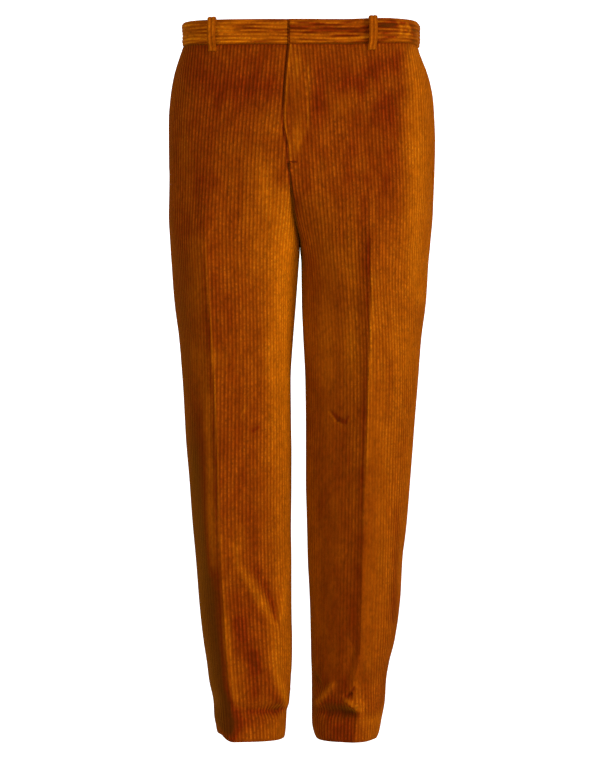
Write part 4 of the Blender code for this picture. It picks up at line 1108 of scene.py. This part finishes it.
def waistband(half):
    """Half the waistband, from the middle of the back to its end in front: its outline, swept."""
    serial = BAND_SERIAL + HALVES.index(half)
    lap_here = lap(BAND_LAP_DROP)
    past_middle_by = lap_here if half is LEFT else FLY_UNDERLAP - BAND_END_SHORTER
    lap_edge = lap_here if half is LEFT else -lap_here
    beside_lap = BESIDE_LAP[BESIDE_LAP < 0] if half is LEFT else BESIDE_LAP
    profile = band_profile()
    _, length = band_line(half, profile[0][0])
    steps = int((length + past_middle_by - SEAM_GAP / 2) / BAND_STEP)
    points, cloth, rib, nap_and_painted_light = [], [], [], []
    for drop, share, face in profile:
        level = max(drop, 0)
        line, length = band_line(half, level)
        end = length + past_middle_by
        at = np.linspace(SEAM_GAP / 2, end, steps)
        at = np.sort(np.append(at, length + lap_edge + beside_lap))
        past = at - length
        from_end = np.minimum(at - at[0], end - at)
        near_edge = min(drop, WAISTBAND_HEIGHT - drop) if face == 1 else 0.0
        low = place(half, line, at, level)
        low[:, 2] -= min(drop, 0)
        x = half.sign * low[:, 0]
        in_front = (low[:, 1] < 0) * face
        ahead = sideways(half, line, at, level)
        normals = -half.sign * np.stack([ahead[:, 1], -ahead[:, 0], np.zeros(len(at))], axis=1)
        normals /= np.linalg.norm(normals, axis=1)[:, None]

        out = np.full(len(at), WAISTBAND_PROUD)
        into = np.full(len(at), WAISTBAND_PROUD - WAISTBAND_THICKNESS)
        if half is LEFT:
            lapped = ease(-FLY_SHOULDER, -FLY_FLAT, past)
            out += BAND_LAP_LIFT * lapped
            into += (WAISTBAND_THICKNESS - BAND_LAP_PLY + BAND_LAP_LIFT) * lapped
        else:
            under = ease(-lap_here - FLY_FLAT, -lap_here - FLY_SUNK_BEFORE, past)
            out -= (BAND_LAP_PLY + PLY_GAP - BAND_LAP_LIFT) * under + BAND_TROUGH * fly_trough(past, lap_here)
        soft = uneven(BAND_SWELL, 31 + serial, at, drop)
        soft = soft + in_front * stroke_total(FOLDS, half, "band", x, drop) / 1000
        height = relief(drop + BAND_FIRST_RIB + uneven(BAND_WANDER, 5, at, 0.0))
        height = height * ease(0, BAND_EDGE, near_edge) * ease(0, BAND_EDGE, from_end)
        rolled = BAND_ROLL * (1 - ease(*BAND_ROLL_REACH, near_edge)) * face
        surface = out + soft + (height - 1) * RIB_HEIGHT * face - rolled
        surface = surface - BAND_END_SUNK * face * (1 - ease(0, BAND_EDGE, from_end))

        tone = stroke_total(PILE_AND_PAINTED_LIGHT, half, "band", x, drop) * in_front
        tone = tone + face * uneven(BAND_STREAKS, 53 + serial, at, drop)
        # Painted shade at the band's ends and in the groove beside the lap's edge.
        tone = tone + SEAM_SHADE * face * (1 - ease(*BAND_END_SHADE_REACH, from_end))
        if half is RIGHT:
            tone = tone - TROUGH_SHADE * face * fly_trough(past, lap_here)
        # Behind, painted light and shade: lighter where the band faces the wearer's left, towards the key
        # light, and darker where it faces the wearer's right.
        behind = ease(*BAND_SIDE, low[:, 1])
        lying_and_side_light = BAND_NAP[half.name] * (1 - behind) + (BAND_NAP_BEHIND + PAINTED_SIDE_LIGHT * normals[:, 0]) * behind

        points.append(low + normals * (surface * (1 - share) + into * share)[:, None])
        cloth.append(cloth_at(drop, at, serial))
        rib.append(height * face + INSIDE_RIB * (1 - face))
        nap_and_painted_light.append(lying_and_side_light + tone)
    return swept(f"waistband_{half.name}_cloth", points, cloth, rib, np.array(nap_and_painted_light).ravel())


def swept(name, loops, cloth, rib, nap_and_painted_light):
    """A closed solid from a loop of outline points, each followed along the piece: outline x along x 3."""
    loops, cloth, rib = map(np.array, (loops, cloth, rib))
    around, length = loops.shape[:2]
    ids = np.arange(around * length).reshape(around, length)
    following = np.roll(ids, -1, axis=0)
    faces = np.stack([ids[:, :-1], ids[:, 1:], following[:, 1:], following[:, :-1]], axis=-1)
    faces = faces.reshape(-1, 4).tolist() + [ids[:, 0].tolist()[::-1], ids[:, -1].tolist()]
    made = mesh_object(name, loops.reshape(-1, 3), faces)
    add_attributes(made, cloth, rib, nap_and_painted_light)
    return turn_out(made)


# ---- Belt loops

Loop = namedtuple("Loop", "name half face at")
LOOPS = (
    Loop("belt_loop_front_right", RIGHT, "front", 120),
    Loop("belt_loop_front_left", LEFT, "front", 114),
    Loop("belt_loop_back_right", RIGHT, "back", 96),
    Loop("belt_loop_back_left", LEFT, "back", 96),
    Loop("belt_loop_back_centre", LEFT, "back", 0),
)
LOOP_WIDTH, LOOP_THICKNESS = 0.0128, 0.0026
# The loops' ribs are lower. The loops are lighter all over: the pile's lie, with a painted highlight.
LOOP_RIB_HEIGHT, LOOP_NAP_AND_HIGHLIGHT = RIB_HEIGHT * 0.8, 0.6
# Its outline's points across the top, and the superellipse power of its edges.
LOOP_POINTS, LOOP_SQUARE = 25, 8
ARCH_STEPS = 5
# The loop's middle line: its drop, and its height above the cloth under it, in millimetres.
Arch = namedtuple("Arch", "drop height")
LOOP_ARCH = (
    Arch(4.0, 3.1),
    Arch(-0.8, 3.7),
    Arch(-2.4, 5.6),
    Arch(-1.2, 7.9),
    Arch(5.0, 9.0),
    Arch(20.0, 9.2),
    Arch(30.0, 8.8),
    Arch(37.4, 5.2),
    Arch(41.8, 2.4),
    Arch(47.0, 1.9),
)


def rounded_path(points, steps):
    """A smooth curve through the points, with as many steps between each pair."""
    points = np.array(points, float)
    padded = np.concatenate([2 * points[:1] - points[1:2], points, 2 * points[-1:] - points[-2:-1]])
    t = np.linspace(0, 1, steps, endpoint=False)[:, None]
    made = []
    for a, b, c, d in zip(padded, padded[1:], padded[2:], padded[3:]):
        squared, cubed = 2 * a - 5 * b + 4 * c - d, 3 * b - a - 3 * c + d
        made.append(0.5 * (2 * b + (c - a) * t + squared * t**2 + cubed * t**3))
    return np.concatenate(made + [points[-1:]])


def loop_place(loop, drop):
    """The waist's surface where a loop sits, and its outward and sideways directions."""
    line = half_curve(loop.half, loop.face, max(drop, 0))
    outermost = int(line[:, 0].argmax())
    rest = line[outermost:]
    at = arc_of(line)[outermost] + float(np.interp(-loop.at / 1000, -rest[:, 0], arc_of(rest)))
    places = np.clip((at - SIDE_STEP, at, at + SIDE_STEP), 0, None)
    before, point, after = place(loop.half, line, places, drop)
    side = (after - before) / np.linalg.norm(after - before)
    if loop.at == 0:
        side = np.array((1.0, 0, 0))
    outward = np.array((side[1], -side[0], 0))
    if outward @ point < 0:
        outward = -outward
    return point, outward, side


def loop_outline():
    """A belt loop's closed outline as rows of (sideways, outwards, rib): the ribbed top, then the plain
    underside. Sideways is a share of half its width."""
    width = np.linspace(-1, 1, LOOP_POINTS)
    edge = np.sqrt(np.clip(1 - np.abs(width) ** LOOP_SQUARE, 0, 1))
    ribs = relief(width * LOOP_WIDTH / 2)
    top = np.stack([width, edge * (LOOP_THICKNESS / 2 - LOOP_RIB_HEIGHT * (1 - ribs)), ribs], axis=1)
    under = np.stack([width, -edge * LOOP_THICKNESS / 2, np.full(LOOP_POINTS, INSIDE_RIB)], axis=1)
    return np.concatenate([top, under[::-1][1:-1:3]])


def belt_loop(loop, serial):
    """A loop: its outline swept down its arch, with both ends folded in under it."""
    centres, across, outwards = [], [], []
    for drop, height in rounded_path(LOOP_ARCH, ARCH_STEPS) / 1000:
        point, outward, side = loop_place(loop, drop)
        centres.append(point + outward * height)
        across.append(side)
        outwards.append(outward)
    centres, across = np.array(centres), np.array(across)
    facing = np.cross(across, np.gradient(centres, axis=0))
    facing /= np.linalg.norm(facing, axis=1)[:, None]
    straight = len(facing) // 2
    if facing[straight] @ outwards[straight] < 0:
        facing = -facing
    loops, cloth, rib = [], [], []
    for w, lift, height in loop_outline():
        loops.append(centres + across * w * LOOP_WIDTH / 2 + facing * lift)
        cloth.append(cloth_at(w * LOOP_WIDTH / 2, arc_of(centres), serial))
        rib.append(np.full(len(centres), height))
    return swept(loop.name + "_cloth", loops, cloth, rib, np.full(np.array(rib).size, LOOP_NAP_AND_HIGHLIGHT))


# ---- The cloth's material


def linear(red, green, blue):
    """A colour given as 0 to 255 display values, as linear light."""
    value = np.array((red, green, blue)) / 255
    return (*np.where(value <= 0.04045, value / 12.92, ((value + 0.055) / 1.055) ** 2.4), 1.0)


class Nodes:
    """Short names for building a node tree."""

    def __init__(self, name):
        self.material = bpy.data.materials.new(name)
        self.material.use_nodes = True
        self.tree = self.material.node_tree
        self.shader = self.tree.nodes["Principled BSDF"]

    def node(self, kind, **settings):
        made = self.tree.nodes.new(kind)
        for key, value in settings.items():
            setattr(made, key, value)
        return made

    def link(self, source, target):
        self.tree.links.new(source, target)

    def put(self, target, value):
        if isinstance(value, bpy.types.NodeSocket):
            self.link(value, target)
        else:
            target.default_value = value

    def math(self, operation, a, b):
        made = self.node("ShaderNodeMath", operation=operation)
        self.put(made.inputs[0], a)
        self.put(made.inputs[1], b)
        return made.outputs[0]

    def vector(self, a, scale):
        made = self.node("ShaderNodeVectorMath", operation="MULTIPLY")
        self.put(made.inputs[0], a)
        made.inputs[1].default_value = scale
        return made.outputs[0]

    def noise(self, vector, detail, roughness):
        made = self.node("ShaderNodeTexNoise")
        self.link(vector, made.inputs["Vector"])
        made.inputs["Scale"].default_value = 1.0
        made.inputs["Detail"].default_value = detail
        made.inputs["Roughness"].default_value = roughness
        return made.outputs["Fac"]

    def spread(self, value, low, high, to_low, to_high):
        made = self.node("ShaderNodeMapRange", clamp=True)
        self.put(made.inputs["Value"], value)
        for key, number in (("From Min", low), ("From Max", high), ("To Min", to_low), ("To Max", to_high)):
            made.inputs[key].default_value = number
        return made.outputs[0]

    def mix(self, share, a, b):
        made = self.node("ShaderNodeMix", data_type="RGBA", clamp_factor=False)
        self.put(made.inputs["Factor"], share)
        self.put(made.inputs["A"], a)
        self.put(made.inputs["B"], b)
        return made.outputs["Result"]

    def attribute(self, name, output="Fac"):
        return self.node("ShaderNodeAttribute", attribute_name=name).outputs[output]


# Where the pile lies dark and where it lies light: the colours that the nap channel mixes, with the painted
# light and shade it also carries. A rib's top is lighter, a painted highlight, and a groove darker, painted
# shade. SHADE is the painted shade colour of the darkest places.
DARK_TOP, DARK_GROOVE = linear(142, 44, 3), linear(100, 21, 0)
LIGHT_TOP, LIGHT_GROOVE = linear(180, 92, 7), linear(149, 66, 1)
SHADE = linear(72, 27, 2)
SHEEN = linear(255, 152, 10)
# The pile's unevenness, as swells or flecks of cloth in metres, across the ribs and along them.
Grit = namedtuple("Grit", "across along")
CLOUDS = Grit(0.055, 0.110)
PATCHES = Grit(0.016, 0.034)
STREAKS = Grit(0.0050, 0.070)
FLECKS = Grit(0.0045, 0.0075)
TUFTS = Grit(0.0048, 0.0030)
FIBRES = Grit(0.0007, 0.0012)


def corduroy():
    """The cloth's material: dark and light pile mixed by the nap channel, which also carries painted light
    and shade, with painted shade in the grooves, painted highlights on the rib tops and a speckle.
    """
    n = Nodes("corduroy")
    cloth = n.attribute("cloth", "Vector")
    rib = n.attribute("rib")

    def mottled(grit, detail, roughness=0.5):
        # The third number moves each piece to another part of the pattern.
        return n.noise(n.vector(cloth, (1 / grit.across, 1 / grit.along, 1.7)), detail, roughness)

    clouds, patches, streaks = mottled(CLOUDS, 3.0), mottled(PATCHES, 3.0, 0.6), mottled(STREAKS, 2.0)
    flecks, fibres, tufts = mottled(FLECKS, 3.0, 0.6), mottled(FIBRES, 2.0, 0.7), mottled(TUFTS, 1.0)
    # Painted highlight: a rib's top is lighter than its flanks, whose groove colour is painted shade.
    crest_highlight = n.spread(rib, 0.80, 1.0, 0.0, 1.0)
    # The ribs stand out less where the pile is brushed flat.
    crest_highlight = n.math("MULTIPLY", crest_highlight, n.spread(patches, 0.30, 0.62, 0.40, 0.85))
    dark = n.mix(crest_highlight, DARK_GROOVE, DARK_TOP)
    light = n.mix(crest_highlight, LIGHT_GROOVE, LIGHT_TOP)
    blotches = n.math("ADD", n.spread(clouds, 0.3, 0.7, 0.10, 0.40), n.spread(patches, 0.3, 0.7, -0.07, 0.23))
    # The nap channel holds the pile's lie together with painted light and shade; below 0 the colour goes
    # towards the painted shade colour SHADE.
    lie_and_painted_light = n.math("ADD", n.attribute("nap_and_painted_light"), blotches)
    body = n.mix(n.spread(lie_and_painted_light, 0.0, 2.2, 0.0, 2.2), dark, light)
    body = n.mix(n.spread(lie_and_painted_light, -1.0, 0.0, 0.9, 0.0), body, SHADE)
    grain = n.spread(streaks, 0.25, 0.75, 0.90, 1.10)
    grain = n.math("ADD", grain, n.spread(flecks, 0.28, 0.72, -0.25, 0.25))
    grain = n.math("ADD", grain, n.spread(fibres, 0.3, 0.7, -0.10, 0.10))
    grain = n.math("ADD", grain, n.math("MULTIPLY", crest_highlight, n.spread(tufts, 0.3, 0.7, -0.36, 0.50)))
    toned = n.node("ShaderNodeVectorMath", operation="SCALE")
    n.link(body, toned.inputs[0])
    n.link(grain, toned.inputs["Scale"])
    n.link(toned.outputs[0], n.shader.inputs["Base Color"])
    n.link(n.spread(patches, 0.3, 0.7, 0.95, 0.80), n.shader.inputs["Roughness"])
    n.shader.inputs["Specular IOR Level"].default_value = 0.02
    n.shader.inputs["Sheen Weight"].default_value = 0.45
    n.shader.inputs["Sheen Roughness"].default_value = 0.6
    n.shader.inputs["Sheen Tint"].default_value = SHEEN
    bump = n.node("ShaderNodeBump")
    bump.inputs["Strength"].default_value = 0.6
    bump.inputs["Distance"].default_value = 0.0006
    n.link(n.math("ADD", fibres, flecks), bump.inputs["Height"])
    n.link(bump.outputs[0], n.shader.inputs["Normal"])
    return n.material


# ---- Light, floor and camera

VIEW_HEIGHT = -0.526
VIEW_DISTANCE = 4.5
VIEW_SIDE = -0.00075
LENS, SENSOR = 142.3, 36
# The room's light: this much from the sides, and that much more from in front and behind.
SIDE_FILL, FRONT_FILL = 0.32, 1.10
# The soft light in front, on the wearer's left.
KEY_PLACE, KEY_AIM, KEY_SIZE, KEY_POWER = (3.33, -2.60, 0.5), (0, 0, -0.45), (1.4, 2.2), 92
# The floor, and the bend and the height of the wall all round it.
FLOOR, FLOOR_RADIUS, FLOOR_BEND, WALL_TOP = -1.12, 11.0, 1.5, 12.0
FLOOR_SIDES = 96


def key_light():
    data = bpy.data.lights.new("key", "AREA")
    data.shape = "RECTANGLE"
    data.size, data.size_y = KEY_SIZE
    data.energy = KEY_POWER
    made = bpy.data.objects.new("key", data)
    bpy.context.scene.collection.objects.link(made)
    made.location = KEY_PLACE
    x, y, z = np.array(KEY_AIM) - np.array(KEY_PLACE)
    made.rotation_euler = (float(np.arctan2(np.hypot(x, y), -z)), 0.0, float(np.arctan2(y, x) - np.pi / 2))


def room_light():
    """A white world, brighter in front and behind by the fourth power of how far a direction faces there."""
    world = bpy.data.worlds.new("world")
    bpy.context.scene.world = world
    world.use_nodes = True
    nodes, links = world.node_tree.nodes, world.node_tree.links
    background = nodes["Background"]
    background.inputs["Color"].default_value = (1, 1, 1, 1)
    toward = nodes.new("ShaderNodeSeparateXYZ")
    links.new(nodes.new("ShaderNodeTexCoord").outputs["Generated"], toward.inputs[0])
    square, fourth, fill = (nodes.new("ShaderNodeMath") for _ in range(3))
    for made, source in ((square, toward.outputs["Y"]), (fourth, square.outputs[0])):
        made.operation = "MULTIPLY"
        links.new(source, made.inputs[0])
        links.new(source, made.inputs[1])
    fill.operation = "MULTIPLY_ADD"
    links.new(fourth.outputs[0], fill.inputs[0])
    fill.inputs[1].default_value = FRONT_FILL
    fill.inputs[2].default_value = SIDE_FILL
    links.new(fill.outputs[0], background.inputs["Strength"])


def studio():
    """The camera, the light and the floor."""
    scene = bpy.context.scene
    camera = bpy.data.objects.new("camera", bpy.data.cameras.new("camera"))
    scene.collection.objects.link(camera)
    camera.data.lens = LENS
    camera.data.sensor_width = SENSOR
    camera.data.sensor_fit = "AUTO"
    camera.location = (VIEW_SIDE, -VIEW_DISTANCE, VIEW_HEIGHT)
    camera.rotation_euler = (np.pi / 2, 0, 0)
    scene.camera = camera
    scene.view_settings.view_transform = "Standard"
    room_light()
    key_light()
    backdrop()


def backdrop():
    """A pale seamless floor that curves up all round, wide enough to hold a camera on any side."""
    flat = FLOOR_RADIUS - FLOOR_BEND
    outline = [(0.5, 0.0), (flat, 0.0)]
    for turn in np.linspace(0, np.pi / 2, 9)[1:]:
        outline.append((flat + FLOOR_BEND * np.sin(turn), FLOOR_BEND - FLOOR_BEND * np.cos(turn)))
    outline.append((FLOOR_RADIUS, WALL_TOP))
    around = np.linspace(0, 2 * np.pi, FLOOR_SIDES, endpoint=False)
    points = [(r * np.cos(a), r * np.sin(a), z + FLOOR) for r, z in outline for a in around]
    following = np.roll(np.arange(FLOOR_SIDES), -1)
    faces = [list(range(FLOOR_SIDES))]
    for low in range(0, FLOOR_SIDES * (len(outline) - 1), FLOOR_SIDES):
        high = low + FLOOR_SIDES
        faces += [(low + j, high + j, high + k, low + k) for j, k in enumerate(following.tolist())]
    made = mesh_object("backdrop", points, faces)
    paper = Nodes("paper")
    paper.shader.inputs["Base Color"].default_value = (0.9, 0.9, 0.9, 1)
    paper.shader.inputs["Roughness"].default_value = 0.9
    paper.shader.inputs["Emission Color"].default_value = (1, 1, 1, 1)
    paper.shader.inputs["Emission Strength"].default_value = 1.0
    made.data.materials.append(paper.material)
    made.visible_diffuse = False
    made.visible_glossy = False
    made.visible_shadow = False


# ---- The garment


def dress(piece, node, finish):
    """Gives a piece its finish, hangs it from the root body and hides the CAD part of the node it stands for.
    """
    piece.data.materials.append(finish)
    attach(piece, "root")
    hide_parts(node)


def main():
    finish = corduroy()
    for half in HALVES:
        for face in ("front", "back"):
            piece = panel(half, face)
            dress(piece, f"{face}_{half.name}", finish)
        piece = waistband(half)
        dress(piece, f"waistband_{half.name}", finish)
        piece = pocket_facing(half)
        dress(piece, f"pocket_facing_{half.name}", finish)
    for number, loop in enumerate(LOOPS):
        piece = belt_loop(loop, LOOP_SERIAL + number)
        dress(piece, loop.name, finish)
    studio()


main()
